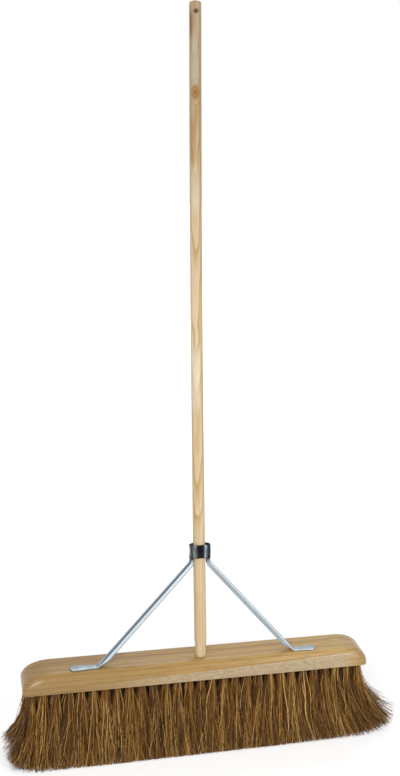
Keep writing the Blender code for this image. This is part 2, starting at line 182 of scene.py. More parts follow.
def ramp(factor, *stops):
    """A colour ramp through stops: a position, and then a grey or a screen colour."""
    made = node("ValToRGB", Fac=factor)
    elements = made.color_ramp.elements
    while len(elements) < len(stops):
        elements.new(0.5)
    for element, (position, *tone) in zip(elements, stops):
        element.position = position
        element.color = srgb(*tone) if len(tone) == 3 else grey(*tone)
    return made.outputs["Color"]


def blend_colour(factor, first, second, kind="MIX"):
    made = node("Mix", {"data_type": "RGBA", "blend_type": kind}, i0=factor, i6=first, i7=second)
    return made.outputs[2]


def tinted(amount, colour, tint):
    """The colour, multiplied by a tint as far as the amount says."""
    return blend_colour(amount, colour, tint, "MULTIPLY")


def streak(colour, tint, amount, *bands):
    """A streak of one tint, where every band (value, low, high, soft) holds."""
    reach = times(*(between(*band) for band in bands))
    return blend_colour(times(reach, *amount), colour, srgb(*tint))


def stretched_noise(place, scale, detail=3.0, roughness=0.55):
    """Noise whose cells are drawn out along one or two axes."""
    drawn = node("Mapping", Vector=place, Scale=scale).outputs[0]
    made = node("TexNoise", Vector=drawn, Scale=1.0, Detail=detail, Roughness=roughness)
    return made.outputs["Fac"]


def bump(shader, height):
    """A faint relief, a third of a millimetre at most."""
    made = node("Bump", Height=height, Strength=0.06, Distance=0.0003)
    tree.links.new(made.outputs["Normal"], shader.inputs["Normal"])


def seen_directly():
    """1 for rays from the camera or a mirror or through glass, 0 for rays that carry soft light."""
    rays = node("LightPath").outputs
    direct = math_node("MAXIMUM", rays["Is Camera Ray"], rays["Is Glossy Ray"])
    return math_node("MAXIMUM", direct, rays["Is Transmission Ray"])


print("node helpers ready")

# %% [markdown]
# ## Floor, world and lamps
# The photograph's ground is pure white. A white floor that only gets as much light as the broom would come
# out pale grey, so the camera's own rays see a little glow added to it. The glow is weaker near the broom,
# where the soft shadow has to stay, and there is none under the bristles. The world is white for the camera
# and for reflections, and dimmer for the light that it gives.

# %% Floor and world
FLOOR_SIZE = 14.0
FLOOR_GREY = 0.86
GLOW_NEAR = (0.5, 0.42)
GLOW_FAR = (2.0, 1.0)
UNDER_BRISTLES = (("X", 0.325), ("Y", 0.046))
UNDER_SOFT = 0.01
WORLD_LIGHT = 0.36

bpy.ops.mesh.primitive_plane_add(size=FLOOR_SIZE, location=(0, 0, 0))
floor = bpy.context.object
floor.name = "floor"
floor_finish, shader = new_material("floor_white", Roughness=1.0, Specular_IOR_Level=0.0)
shader.inputs["Base Color"].default_value = grey(FLOOR_GREY)
place = node("TexCoord").outputs["Object"]
away = node("VectorMath", {"operation": "LENGTH"}, i0=place).outputs["Value"]
strength = step(away, GLOW_NEAR[0], GLOW_FAR[0], GLOW_NEAR[1], GLOW_FAR[1])
spot = node("SeparateXYZ", Vector=place).outputs
covered = 1.0
for axis, edge in UNDER_BRISTLES:
    off = math_node("ABSOLUTE", spot[axis])
    covered = times(step(off, edge - UNDER_SOFT, edge, 1.0, 0.0), covered)
strength = times(strength, math_node("SUBTRACT", 1.0, covered))
glow = node("Emission", Color=grey(1.0), Strength=strength)
hidden = node("Emission", Color=grey(0.0), Strength=0.0)
glow_seen = node("MixShader", i0=seen_directly(), i1=hidden.outputs[0], i2=glow.outputs[0])
both = node("AddShader", i0=shader.outputs[0], i1=glow_seen.outputs[0])
tree.links.new(both.outputs[0], tree.nodes["Material Output"].inputs["Surface"])
floor.data.materials.append(floor_finish)

world = bpy.data.worlds.new("studio")
bpy.context.scene.world = world
world.use_nodes = True
tree = world.node_tree
background = tree.nodes["Background"]
background.inputs["Color"].default_value = grey(1.0)
strength = step(seen_directly(), 0.0, 1.0, WORLD_LIGHT, 1.0)
tree.links.new(strength, background.inputs["Strength"])
print("floor", FLOOR_SIZE, "m square, world light", WORLD_LIGHT)

# %% Lamps
AIM = Vector((0.0, 0.0, 0.35))
LAMPS = (
    ("key_light", (-1.5, -2.4, 2.3), 1.6, 52.0),
    ("fill_light", (1.9, -2.2, 1.5), 1.8, 26.0),
    ("back_light", (0.5, 2.0, 2.6), 1.6, 14.0),
)
for name, spot, size, power in LAMPS:
    bpy.ops.object.light_add(type="AREA", location=spot)
    lamp = bpy.context.object
    lamp.name = name
    lamp.data.shape = "DISK"
    lamp.data.size = size
    lamp.data.energy = power
    lamp.rotation_euler = (AIM - Vector(spot)).to_track_quat("-Z", "Y").to_euler()
    print(name, "at", spot, "with", power, "watts")

# %% [markdown]
# ## Varnished wood for the head
# The head is sawn along the grain and dipped in clear varnish. Its top is a warm tan with long soft
# streaks. A few of them near the back edge are orange brown. The lower half of its front and back is paler
# wood with short flecks and a painted sheen, and the right end is darkened with painted shade. A solid
# pattern gives all of that on every side at once: noise that is stretched along the head, rings round a
# line outside it, and a few streaks put where the photograph has them.

# %% Varnished wood
HEAD_PITH = (0.0, -0.085, 0.030)
RING_WIDTH = 0.0085
RING_WOBBLE = 0.016
PALE_BAND = 0.0175
PALE_CLIMB = 0.030
PALE_WAVE = 0.005
PALE_SOFT = 0.0012
STREAK_WANDER = 0.012
STREAK_TINT = (138, 92, 44)
STREAK_SOFT = (0.03, 0.0012)
HALF_WANDER = STREAK_WANDER / 2


def ring_distance(place, pith, wobble):
    """Distance from the tree's centre line along X, with a slow wobble, in metres."""
    centred = node("VectorMath", {"operation": "SUBTRACT"}, i0=place, i1=pith).outputs[0]
    across = node("VectorMath", {"operation": "MULTIPLY"}, i0=centred, i1=(0, 1, 1)).outputs[0]
    distance = node("VectorMath", {"operation": "LENGTH"}, i0=across).outputs["Value"]
    slow = node("Mapping", Vector=place, Scale=(2.2, 14, 14)).outputs[0]
    waves = node("TexNoise", Vector=slow, Scale=1.0, Detail=2.0).outputs["Fac"]
    return math_node("ADD", distance, times(waves, wobble))


wood, shader = new_material(
    "varnished_wood", Roughness=0.45, Coat_Weight=0.5, Coat_Roughness=0.18, Specular_IOR_Level=0.3
)
place = node("TexCoord").outputs["Object"]
axes = node("SeparateXYZ", Vector=place).outputs
distance = ring_distance(place, HEAD_PITH, RING_WOBBLE)
phase = math_node("FRACT", math_node("DIVIDE", distance, RING_WIDTH))
ring_stops = ((0.0, 210, 176, 118), (0.6, 206, 171, 112), (0.9, 193, 156, 96), (1.0, 210, 176, 118))
colour = ramp(phase, *ring_stops)
soft = stretched_noise(place, (2.5, 60, 60), 4.0)
colour = tinted(0.9, colour, ramp(soft, (0.34, 0.84), (0.5, 0.98), (0.66, 1.06)))

# From end to end the board goes from grey brown to pale, and its right end is darker again: painted shade.
board_share = math_node("MULTIPLY_ADD", axes["X"], 1.6, 0.5)
board_tone_and_end_shade_stops = ((0.0, 201, 192, 168), (0.5, 229, 221, 196), (0.92, 255, 255, 248), (0.98, 206, 200, 182))
colour = tinted(1.0, colour, ramp(board_share, *board_tone_and_end_shade_stops))
dashes = stretched_noise(place, (26, 480, 480), 3.0, 0.6)
dash_stops = ((0.30, 176, 150, 118), (0.42, 250, 247, 242), (0.7, 1.0))
colour = tinted(0.7, colour, ramp(dashes, *dash_stops))

# Streaks by where they start and end along the head, where they lie across it, and their depth.
wander = times(stretched_noise(place, (5, 5, 5), 2.0), STREAK_WANDER)
streak_y = math_node("ADD", axes["Y"], wander)
torn = smooth_step(stretched_noise(place, (9, 420, 420), 3.0), 0.36, 0.58, 0.55, 1.0)
STREAKS = (
    (-0.26, -0.06, 0.0205, 0.0235, 1.0),
    (-0.20, 0.02, 0.0150, 0.0165, 0.8),
    (-0.28, -0.16, 0.0265, 0.0280, 0.9),
    (0.05, 0.29, 0.0235, 0.0255, 0.8),
    (0.02, 0.24, 0.0030, 0.0042, 0.6),
    (-0.05, 0.17, -0.0060, -0.0050, 0.5),
    (-0.29, 0.31, 0.0060, 0.0110, 0.45),
)
for start, end, near, far, depth in STREAKS:
    along = (axes["X"], start, end, STREAK_SOFT[0])
    across = (streak_y, near + HALF_WANDER, far + HALF_WANDER, STREAK_SOFT[1])
    colour = streak(colour, STREAK_TINT, (torn, depth), along, across)

# The paler lower half, paler wood with a painted sheen of the varnish, which climbs a little to the right and
# fades out at both ends.
low_edge = math_node("ADD", axes["Z"], times(soft, PALE_WAVE))
low_edge = math_node("ADD", low_edge, times(axes["X"], -PALE_CLIMB))
line_height = HEAD_BASE + PALE_BAND + PALE_WAVE / 2
low_part = smooth_step(low_edge, line_height - PALE_SOFT, line_height + PALE_SOFT, 1.0, 0.0)
inner = smooth_step(axes["X"], -0.225, -0.005)
inner = times(inner, smooth_step(axes["X"], 0.25, 0.29, 1.0, 0.0))
line_band = (low_edge, line_height + 0.0004, line_height + 0.0024, 0.0007)
colour = streak(colour, (140, 104, 60), (0.5,), line_band, (axes["X"], -0.01, 0.255, 0.035))
flecks = stretched_noise(place, (110, 700, 700), 2.0)
pale_wood_and_sheen = ramp(flecks, (0.34, 173, 148, 110), (0.5, 189, 168, 132), (0.68, 201, 184, 152))
colour = blend_colour(times(low_part, inner, 0.9), colour, pale_wood_and_sheen)
pores = stretched_noise(place, (30, 1300, 1300), 2.0)
colour = tinted(0.7, colour, ramp(pores, (0.3, 0.88), (0.6, 1.04)))
tree.links.new(colour, shader.inputs["Base Color"])
bump(shader, pores)
print("varnished wood: rings", RING_WIDTH * 1000, "mm apart,", len(STREAKS), "streaks")

# %% [markdown]
# ## The handle's own frame
# The handle leans back. Its place and lean are kept here as a foot on the head's top and two directions, one
# along the handle and one square to it, towards the back. Everything that sits on the handle uses them.

# %% Handle sizes from the frame
HANDLE_RADIUS = 0.0105
HANDLE_ASIDE = 0.0024
HANDLE_OFFSET = -0.0015
HANDLE_REACH = 1.128
RAKE = BROOM_TIP
AXIS_FOOT = Vector((HANDLE_ASIDE, HANDLE_OFFSET, HEAD_TOP))
AXIS = Vector((0, math.sin(RAKE), math.cos(RAKE)))
ACROSS = Vector((0, math.cos(RAKE), -math.sin(RAKE)))
print("handle foot", tuple(round(c, 4) for c in AXIS_FOOT), "top", tuple(AXIS_FOOT + AXIS * HANDLE_REACH))

# %% [markdown]
# ## Bare wood for the handle
# The handle is turned from pale softwood and left bare. The stick isn't quite parallel to the tree, so the
# growth rings run out of its surface and draw long pointed arches on it. The pattern is made the same way:
# rings round a line that leans a little against the handle, with a slow wobble. It is first turned into the
# handle's own frame: x to the side, y to the back and z up the handle. A knot near the top pushes the rings
# aside, as it does in the tree. Streaks and a greyer top, partly painted shade, go by their height along the
# handle.

# %% Bare wood
PITH_ASIDE = (0.010, 0.034)
PITH_LEAN = (0.008, 0.030)
STICK_RING = 0.0042
STICK_WOBBLE = 0.013
KNOT = (-0.0034, 0.969)
KNOT_SQUASH = 0.50
KNOT_REACH = 0.0132
KNOT_PUSH = 0.0126
STREAK_SWAY = 0.012

pale, shader = new_material("bare_wood", Roughness=0.6, Specular_IOR_Level=0.3)
place = node(
    "Mapping",
    Vector=node("TexCoord").outputs["Object"],
    Rotation=(RAKE, 0, 0),
    Location=-(Matrix.Rotation(RAKE, 3, "X") @ AXIS_FOOT),
).outputs[0]
axes = node("SeparateXYZ", Vector=place).outputs
ahead = math_node("LESS_THAN", axes["Y"], 0.0)
knot_side = math_node("SUBTRACT", axes["X"], KNOT[0])
knot_up = times(math_node("SUBTRACT", axes["Z"], KNOT[1]), KNOT_SQUASH)
knot_square = math_node("ADD", times(knot_side, knot_side), times(knot_up, knot_up))
knot_far = math_node("SQRT", knot_square)
knot_near = times(smooth_step(knot_far, 0.0, KNOT_REACH, 1.0, 0.0), ahead)
off_pith = {
    axis: math_node("SUBTRACT", axes[axis], math_node("MULTIPLY_ADD", axes["Z"], lean, aside))
    for axis, lean, aside in zip("XY", PITH_LEAN, PITH_ASIDE)
}
from_pith = node("CombineXYZ", **off_pith).outputs[0]
distance = node("VectorMath", {"operation": "LENGTH"}, i0=from_pith).outputs["Value"]
wobble = stretched_noise(place, (26, 26, 6.5), 2.0)
distance = math_node("ADD", distance, times(wobble, STICK_WOBBLE))
distance = math_node("ADD", distance, times(knot_near, KNOT_PUSH))
phase = math_node("FRACT", math_node("DIVIDE", distance, STICK_RING))
ring_stops = ((0.0, 238, 225, 198), (0.35, 233, 216, 184), (0.7, 221, 196, 154), (0.88, 209, 176, 128))
rings = ramp(phase, *ring_stops, (1.0, 237, 223, 194))
plain_foot = smooth_step(axes["Z"], 0.13, 0.24, 0.8, 0.0)
rings = blend_colour(plain_foot, rings, srgb(227, 206, 171))
warm = stretched_noise(place, (60, 60, 2.2), 3.0)
colour = tinted(0.8, rings, ramp(warm, (0.38, 240, 228, 205), (0.6, 1.0)))
lines = stretched_noise(place, (900, 900, 14), 3.0)
colour = tinted(0.6, colour, ramp(lines, (0.32, 0.86), (0.55, 1.02)))

# Streaks by their lower and upper ends, their left and right edges, their tint and their depth.
sway = times(math_node("SUBTRACT", warm, 0.5), STREAK_SWAY)
side = math_node("ADD", axes["X"], sway)
STICK_STREAKS = (
    (1.068, 1.110, -0.0120, -0.0062, (160, 118, 74), 0.75),
    (0.842, 0.925, -0.0100, -0.0030, (202, 158, 104), 0.6),
    (0.200, 1.060, 0.0026, 0.0046, (190, 150, 96), 0.55),
    (0.030, 0.420, -0.0050, -0.0030, (204, 166, 118), 0.3),
    (0.425, 0.530, -0.0118, -0.0008, (245, 233, 208), 0.5),
    (0.985, 1.060, -0.0085, 0.0010, (232, 222, 206), 0.55),
    (0.765, 0.840, -0.0100, 0.0005, (243, 232, 210), 0.5),
    (-0.030, 0.200, 0.0015, 0.0052, (207, 172, 118), 0.55),
)
for low, high, left, right, tint, depth in STICK_STREAKS:
    bands = ((axes["Z"], low, high, 0.016), (side, left, right, 0.0016))
    colour = streak(colour, tint, (ahead, depth), *bands)
# A greyer, darker top, partly painted shade.
grey_top_and_shade_stops = ((0.0, 255, 252, 246), (0.60, 1.0), (0.80, 236, 230, 220), (0.94, 211, 201, 184))
colour = tinted(1.0, colour, ramp(axes["Z"], *grey_top_and_shade_stops, (1.0, 212, 207, 202)))
knot_stops = ((0.4, 1.0), (0.62, 226, 202, 166), (0.86, 232, 208, 172), (0.97, 198, 158, 110))
colour = tinted(1.0, colour, ramp(knot_near, *knot_stops))
tree.links.new(colour, shader.inputs["Base Color"])
bump(shader, lines)
print("bare wood: rings", STICK_RING * 1000, "mm apart,", len(STICK_STREAKS), "streaks")

# %% [markdown]
# ## Plated steel
# The stay is pressed from zinc-plated sheet: bright and slightly blue, with soft clouds in the plating. Its
# rounded edges and the strip beside the band get painted shade and painted dark reflection, and its cut edges
# are darker, partly bare steel and partly painted shade. An attribute carries that from 0 to 1 on the strip's
# points. The band is the same sheet, and its darkness and soft reflections are painted as tones from left to
# right.

# %% Zinc finishes
# The dark tone of the painted shade and painted dark reflection on the strip.
PAINTED_SHADE_TONE = srgb(58, 66, 76)
# The band's darkness and soft reflections, painted as tones across it from left to right.
BAND_REFLECTION_TONES = (
    (-0.0160, 70, 78, 82),
    (-0.0125, 112, 118, 116),
    (-0.0095, 88, 94, 92),
    (-0.0065, 34, 35, 36),
    (0.0015, 24, 25, 27),
    (0.0045, 52, 56, 60),
    (0.0064, 138, 146, 150),
    (0.0080, 120, 130, 136),
    (0.0098, 62, 76, 86),
    (0.0140, 54, 68, 78),
    (0.0158, 120, 130, 136),
)


def zinc(name, roughness, light=None, dark=None, across=None):
    """Plated sheet: clouds of two tones, or (x, tone) stops of painted reflection for a piece that changes
    across its width.
    """
    made, shader = new_material(name, Metallic=1.0)
    place = node("TexCoord").outputs["Object"]
    clouds = node("TexNoise", Vector=place, Scale=45.0, Detail=1.0).outputs["Fac"]
    painted_shade_and_edge = node("Attribute", {"attribute_name": "painted_shade_and_edge"}).outputs["Fac"]
    if across:
        low, high = across[0][0], across[-1][0]
        share = step(node("SeparateXYZ", Vector=place).outputs["X"], low, high)
        tone = ramp(share, *(((x - low) / (high - low), *shade) for x, *shade in across))
        edge = grey(0.25)
    else:
        tone = ramp(clouds, (0.35, *dark), (0.65, *light))
        edge = ramp(painted_shade_and_edge, (0.0, 1.0), (0.9, 0.35))
    # The attribute paints shade and dark reflection: it blends the plating towards a dark tone and tones down
    # its reflection.
    put(shader.inputs["Base Color"], blend_colour(painted_shade_and_edge, tone, PAINTED_SHADE_TONE))
    put(shader.inputs["Specular Tint"], edge)
    gloss = step(clouds, 0.3, 0.7, roughness - 0.02, roughness + 0.03)
    put(shader.inputs["Roughness"], gloss)
    return made


bright_zinc = zinc("bright_zinc", 0.27, (196, 206, 211), (188, 198, 204))
dark_zinc = zinc("dark_zinc", 0.22, across=[(x + HANDLE_ASIDE, *shade) for x, *shade in BAND_REFLECTION_TONES])
print("zinc finishes ready,", len(BAND_REFLECTION_TONES), "tones across the band")

# %% [markdown]
# ## Coir
# Coir is the fibre of the coconut husk: dull, stiff, and from nearly black to golden within one tuft. Each
# fibre carries two numbers on its points. Its tone picks the colour, and its shade darkens it where the
# neighbouring tufts keep the light out. The material reads both.

# %% Coir
coir, shader = new_material("coir", Roughness=0.62, Specular_IOR_Level=0.3)
tone = node("Attribute", {"attribute_name": "tone"}).outputs["Fac"]
shade = node("Attribute", {"attribute_name": "shade"}).outputs["Fac"]
coir_stops = ((0.0, 46, 25, 6), (0.32, 112, 74, 30), (0.66, 180, 128, 56), (1.0, 250, 206, 126))
colour = ramp(tone, *coir_stops)
colour = tinted(1.0, colour, ramp(shade, (0.0, 0.0), (1.0, 1.0)))
tree.links.new(colour, shader.inputs["Base Color"])
print("coir ready,", len(coir_stops), "tones")

# %% [markdown]
# ## Modelling helpers
# A finished piece keeps its object at the origin, with its place in its mesh, rides on the body and stands
# for its CAD node. One helper does all of that. Others pick parts of a mesh in edit mode by where they are,
# cut holes, and smooth the shading.

# %% Piece helpers
SIDES = ((-1, "left"), (1, "right"))


def fresh(name):
    """The object that an operator has just added, named, with its place moved into its mesh."""
    piece = bpy.context.object
    piece.name = name
    piece.data.name = name
    bpy.ops.object.transform_apply(location=True, rotation=True, scale=True)
    return piece


def only(piece):
    """Makes this object the active one and the only one selected."""
    bpy.ops.object.select_all(action="DESELECT")
    piece.select_set(True)
    bpy.context.view_layer.objects.active = piece


def pick(piece, kind, test):
    """In edit mode, selects the faces, edges or verts whose middle passes the test, and nothing else."""
    bpy.ops.mesh.select_mode(type={"verts": "VERT", "edges": "EDGE", "faces": "FACE"}[kind])
    bpy.ops.mesh.select_all(action="DESELECT")
    shape = bmesh.from_edit_mesh(piece.data)
    count = 0
    for element in getattr(shape, kind):
        if kind == "verts":
            middle = element.co
        elif kind == "edges":
            middle = (element.verts[0].co + element.verts[1].co) / 2
        else:
            middle = element.calc_center_median()
        if test(middle, element):
            element.select_set(True)
            count += 1
    shape.select_flush_mode()
    bmesh.update_edit_mesh(piece.data)
    return count


def apply_modifier(piece, kind, **settings):
    """Adds a modifier with these settings and applies it."""
    only(piece)
    step = piece.modifiers.new(kind.lower(), kind)
    for setting, value in settings.items():
        setattr(step, setting, value)
    bpy.ops.object.modifier_apply(modifier=step.name)


def cut(piece, *cutters):
    """Takes these closed shapes out of the piece and deletes them."""
    for cutter in cutters:
        apply_modifier(piece, "BOOLEAN", operation="DIFFERENCE", solver="EXACT", object=cutter)
        bpy.data.objects.remove(cutter, do_unlink=True)


def finish_piece(piece, finish, slot, *nodes, angle=35):
    """Shades, paints and seats a finished piece, and lets it stand for its CAD nodes."""
    only(piece)
    piece.data.materials.clear()
    piece.data.materials.append(finish)
    bpy.ops.object.shade_smooth_by_angle(angle=math.radians(angle))
    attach(piece, "root")
    if nodes:
        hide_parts(*nodes)
    triangles = sum(len(face.vertices) - 2 for face in piece.data.polygons)
    print(piece.name, triangles, "triangles")


def face_outwards(piece):
    """Turns every face of a closed piece outwards."""
    only(piece)
    bpy.ops.object.mode_set(mode="EDIT")
    bpy.ops.mesh.select_all(action="SELECT")
    bpy.ops.mesh.normals_make_consistent(inside=False)
    bpy.ops.object.mode_set(mode="OBJECT")


def point_values(mesh, name, values):
    """Stores one number for each point of a mesh, which a material reads by this name."""
    mesh.attributes.new(name, "FLOAT", "POINT").data.foreach_set("value", values)


def arc(radius, start, end, steps):
    """Points of an arc about the origin, with both ends, in degrees."""
    turns = [math.radians(start + (end - start) * i / steps) for i in range(steps + 1)]
    return [(radius * math.cos(a), radius * math.sin(a)) for a in turns]


def wrap(name, rings, painted_shade_values=None):
    """A closed skin: a grid rolled up into a tube, its rows pinned to these rings, and both ends filled."""
    around = len(rings[0])
    bpy.ops.object.select_all(action="DESELECT")
    bpy.ops.mesh.primitive_grid_add(x_subdivisions=around, y_subdivisions=len(rings) - 1, size=1)
    piece = fresh(name)
    places = [ring[i % around] for ring in rings for i in range(around + 1)]
    for vertex, spot in zip(piece.data.vertices, places):
        vertex.co = spot
    if painted_shade_values:
        values = [ring[i % around] for ring in painted_shade_values for i in range(around + 1)]
        point_values(piece.data, "painted_shade_and_edge", values)
    bpy.ops.object.mode_set(mode="EDIT")
    bpy.ops.mesh.select_all(action="SELECT")
    bpy.ops.mesh.remove_doubles(threshold=1e-6)
    bpy.ops.mesh.select_all(action="DESELECT")
    bpy.ops.mesh.select_mode(type="EDGE")
    bpy.ops.mesh.select_non_manifold(extend=False, use_wire=False, use_verts=False)
    bpy.ops.mesh.edge_face_add()
    bpy.ops.object.mode_set(mode="OBJECT")
    face_outwards(piece)
    return piece


print("piece helpers ready")


# %% [markdown]
# ## Screws and rivets
# Four countersunk wood screws hold the feet, and one round-headed screw at the back holds the handle in the
# band. Each is turned from one profile. The heads get a cross recess, pressed in with a tapered punch.

# %% Fastener sizes
GAP = 0.0003
SHEET = 0.0013
LIP = 0.0004
FLAT_DEPTH = SHEET + LIP
SCREW_HEAD_RADIUS = 0.0036
SCREW_HEAD_DEPTH = 0.0022
SCREW_RADIUS = 0.0017
SCREW_LENGTH = 0.017
SCREW_POINT = 0.004
SCREW_POINT_RADIUS = 0.0004
SCREW_HEAD_RIM = 0.0002
RIVET_RADIUS = 0.0020
RIVET_HEAD_RADIUS = 0.0036
RIVET_HEAD_HEIGHT = 0.0017
RIVET_TAIL_RADIUS = 0.0030
RIVET_TAIL_HEIGHT = 0.0012
FASTENER_SIDES = 40
HOLE_ROUNDNESS = 24


def frame_at(spot, z_axis, x_axis):
    """The matrix that puts local Z along z_axis and local X near x_axis, at this place."""
    z = Vector(z_axis).normalized()
    y = z.cross(Vector(x_axis)).normalized()
    rotation = Matrix((y.cross(z), y, z)).transposed()
    return Matrix.Translation(spot) @ rotation.to_4x4()


def turned(name, profile, place=None, sides=FASTENER_SIDES):
    """A solid turned round Z from (radius, height) pairs, then put in its place."""
    turns = [2 * math.pi * i / sides for i in range(sides)]
    piece = wrap(name, [[(r * math.cos(a), r * math.sin(a), z) for a in turns] for r, z in profile])
    if place is not None:
        piece.data.transform(place)
    return piece


def on_axis(height, side=0.0, across=0.0):
    """A place by its height along the handle above the head, and its distance from the handle's axis."""
    return AXIS_FOOT + AXIS * height + ACROSS * across + Vector((side, 0, 0))


print("screws", SCREW_LENGTH * 1000, "mm long, sheet", SHEET * 1000, "mm")


# %% [markdown]
# ## The head
# The block is a board about 610 mm long. Its upper edges are rounded, the front one more than the back one.
# Near each end its top comes down in a long quarter round. Its plan corners are tight at the underside and
# wide at the top. No bevel can draw an end down like that, so the head is wrapped: its section is worked out
# at many stations along the length and a grid is rolled round them. The holes for the handle, the screws and
# the tufts are then drilled.

# %% Head sizes
END_TRIM = 0.002
HEAD_LENGTH = head_high.x - head_low.x - 2 * END_TRIM
HEAD_DEPTH = head_high.y - head_low.y
HEAD_THICKNESS = HEAD_TOP - HEAD_BASE
CORNER_REACHES = (0.008, 0.036)
CORNER_POWER = 2.0
EDGE_RADIUS = 0.017
BACK_EDGE_RADIUS = 0.013
END_ROUND_LENGTH = 0.047
END_FACE_HEIGHT = 0.0065
UNDERSIDE_ROUND = 0.0012
UNDERSIDE_STEPS = 4
END_STATIONS = 28
EDGE_STEPS = 14
LENGTH_STATIONS = 24


def plan_inset(x, height):
    """How far the plan's rounded corner comes in at this station, less near the underside."""
    low, high = CORNER_REACHES
    climb = 1 - math.sqrt(max(0.0, 1 - (height / HEAD_THICKNESS) ** 2))
    reach = low + (high - low) * climb
    past = max(0.0, abs(x) - (HEAD_LENGTH / 2 - reach)) / reach
    return reach * (1 - max(0.0, 1 - past**CORNER_POWER) ** (1 / CORNER_POWER))


def head_section(x):
    """The head's outline across its length, starting at the underside's back edge."""
    past_round = max(0.0, abs(x) - (HEAD_LENGTH / 2 - END_ROUND_LENGTH)) / END_ROUND_LENGTH
    drop = (HEAD_THICKNESS - END_FACE_HEIGHT) * (1 - math.sqrt(max(0.0, 1 - past_round**2)))
    top = HEAD_THICKNESS - drop
    half = HEAD_DEPTH / 2
    outline = []
    for sign, radius in ((1, BACK_EDGE_RADIUS), (-1, EDGE_RADIUS)):
        edge = min(radius, top - 2 * UNDERSIDE_ROUND)
        low = arc(UNDERSIDE_ROUND, -90, 0, UNDERSIDE_STEPS)
        low_arc = [(half - UNDERSIDE_ROUND + y, UNDERSIDE_ROUND + z) for y, z in low]
        high_arc = [(half - edge + y, top - edge + z) for y, z in arc(edge, 0, 90, EDGE_STEPS)]
        side = [(sign * y * (1 - plan_inset(x, z) / half), z) for y, z in low_arc + high_arc]
        outline += side if sign > 0 else side[::-1]
    return [(x, y, HEAD_BASE + z) for y, z in outline]


ends = [
    HEAD_LENGTH / 2 - END_ROUND_LENGTH * (1 - math.sin(math.pi / 2 * i / END_STATIONS))
    for i in range(END_STATIONS + 1)
]
middle = [ends[0] * (2 * i / LENGTH_STATIONS - 1) for i in range(1, LENGTH_STATIONS)]
stations = [-x for x in reversed(ends)] + middle + ends
head = wrap("head_wood", [head_section(x) for x in stations])
print("head", len(stations), "stations of", len(head_section(0)), "points")

# %% [markdown]
# ### Tuft holes
# Each tuft of coir sits in a blind hole of its own. The rows are staggered by half a pitch. One drill is
# modelled and copied to every tuft, and all the copies are joined, so that one cut drills the whole head.

# %% Tuft places and holes
TUFT_PITCH = 0.0206
TUFTS_EACH_WAY = 14
ROWS_EACH_WAY = 2
OUTER_TUFT = TUFTS_EACH_WAY * TUFT_PITCH
OUTER_ROW_INSET = 0.012
OUTER_ROW = HEAD_DEPTH / 2 - OUTER_ROW_INSET
ROW_PITCH = OUTER_ROW / ROWS_EACH_WAY
HOLE_RADIUS = 0.0048
HOLE_DEPTH = 0.004
HOLE_SIDES = 16
DRILL_START = -0.002
ROWS = range(-ROWS_EACH_WAY, ROWS_EACH_WAY + 1)


def tuft_places(row):
    """The tufts' places in one row, counted from the middle row."""
    shift = 0.5 * (row % 2)
    count = 2 * TUFTS_EACH_WAY + (0 if row % 2 else 1)
    return [((i - TUFTS_EACH_WAY + shift) * TUFT_PITCH, row * ROW_PITCH) for i in range(count)]


def drill(name, radius, low, high, place, sides=FASTENER_SIDES):
    return turned(name, ((radius, low), (radius, high)), place, sides)


one_drill = drill("tuft_drill", HOLE_RADIUS, DRILL_START, HOLE_DEPTH, None, HOLE_SIDES)
drills = []
for x, y in (spot for row in ROWS for spot in tuft_places(row)):
    copy = one_drill.copy()
    copy.data = one_drill.data.copy()
    copy.data.transform(Matrix.Translation((x, y, HEAD_BASE)))
    bpy.context.collection.objects.link(copy)
    drills.append(copy)
bpy.data.objects.remove(one_drill, do_unlink=True)
only(drills[0])
for copy in drills:
    copy.select_set(True)
bpy.ops.object.join()
cut(head, bpy.context.object)
print(len(drills), "tuft holes drilled")

# %% [markdown]
# ## The handle
# A long stick with a shoulder where it gets thinner above the head, a softly rounded top and a hole to hang
# it by. It is turned from one profile. Real sticks are never quite straight: this one bows to the left by
# about two millimetres halfway up, as the photograph shows. The hole is drilled a little askew and its rims
# are flared. No daylight shows through it from the camera, nor does it in the photograph.

# %% Handle
SPIGOT_RADIUS = 0.0094
SPIGOT_END_RADIUS = 0.0080
SHOULDER_TOP = 0.028
SHOULDER_FOOT = 0.013
SOCKET_DEPTH = 0.0225
TOP_ROUND = 0.0035
HANG_HOLE_RADIUS = 0.0045
HANG_HOLE_FROM_TOP = 0.0200
HANG_HOLE_AXIS = (0.085, 1, -0.14)
HANG_HOLE_FLARE = 0.0012
HANG_HOLE_DEPTHS = (0.0092, 0.0125)
HANG_HOLE_SIDES = 48
BOW = 0.0024
BOW_END = 0.034
HANDLE_SIDES = 72
BOW_STATIONS = 40
SHOULDER_STEPS = 10
SPIGOT_CHAMFER = 0.0006
SOCKET_CLEARANCE = 0.006


def handle_profile():
    """(radius, height) pairs from the spigot's end to the top."""
    profile = [(SPIGOT_END_RADIUS - SPIGOT_CHAMFER, -SOCKET_DEPTH)]
    profile += [(SPIGOT_END_RADIUS, -SOCKET_DEPTH + SPIGOT_CHAMFER)]
    profile += [(SPIGOT_RADIUS, 0.0), (SPIGOT_RADIUS, SHOULDER_FOOT)]
    growth = HANDLE_RADIUS - SPIGOT_RADIUS
    for i in range(1, SHOULDER_STEPS + 1):
        share = 0.5 - 0.5 * math.cos(math.pi * i / SHOULDER_STEPS)
        height = SHOULDER_FOOT + (SHOULDER_TOP - SHOULDER_FOOT) * i / SHOULDER_STEPS
        profile.append((SPIGOT_RADIUS + growth * share, height))
    top = HANDLE_REACH - BOW_END
    for i in range(1, BOW_STATIONS + 1):
        profile.append((HANDLE_RADIUS, SHOULDER_TOP + (top - SHOULDER_TOP) * i / BOW_STATIONS))
    for r, z in arc(TOP_ROUND, 0, 90, 10):
        profile.append((HANDLE_RADIUS - TOP_ROUND + r, HANDLE_REACH - TOP_ROUND + z))
    return profile


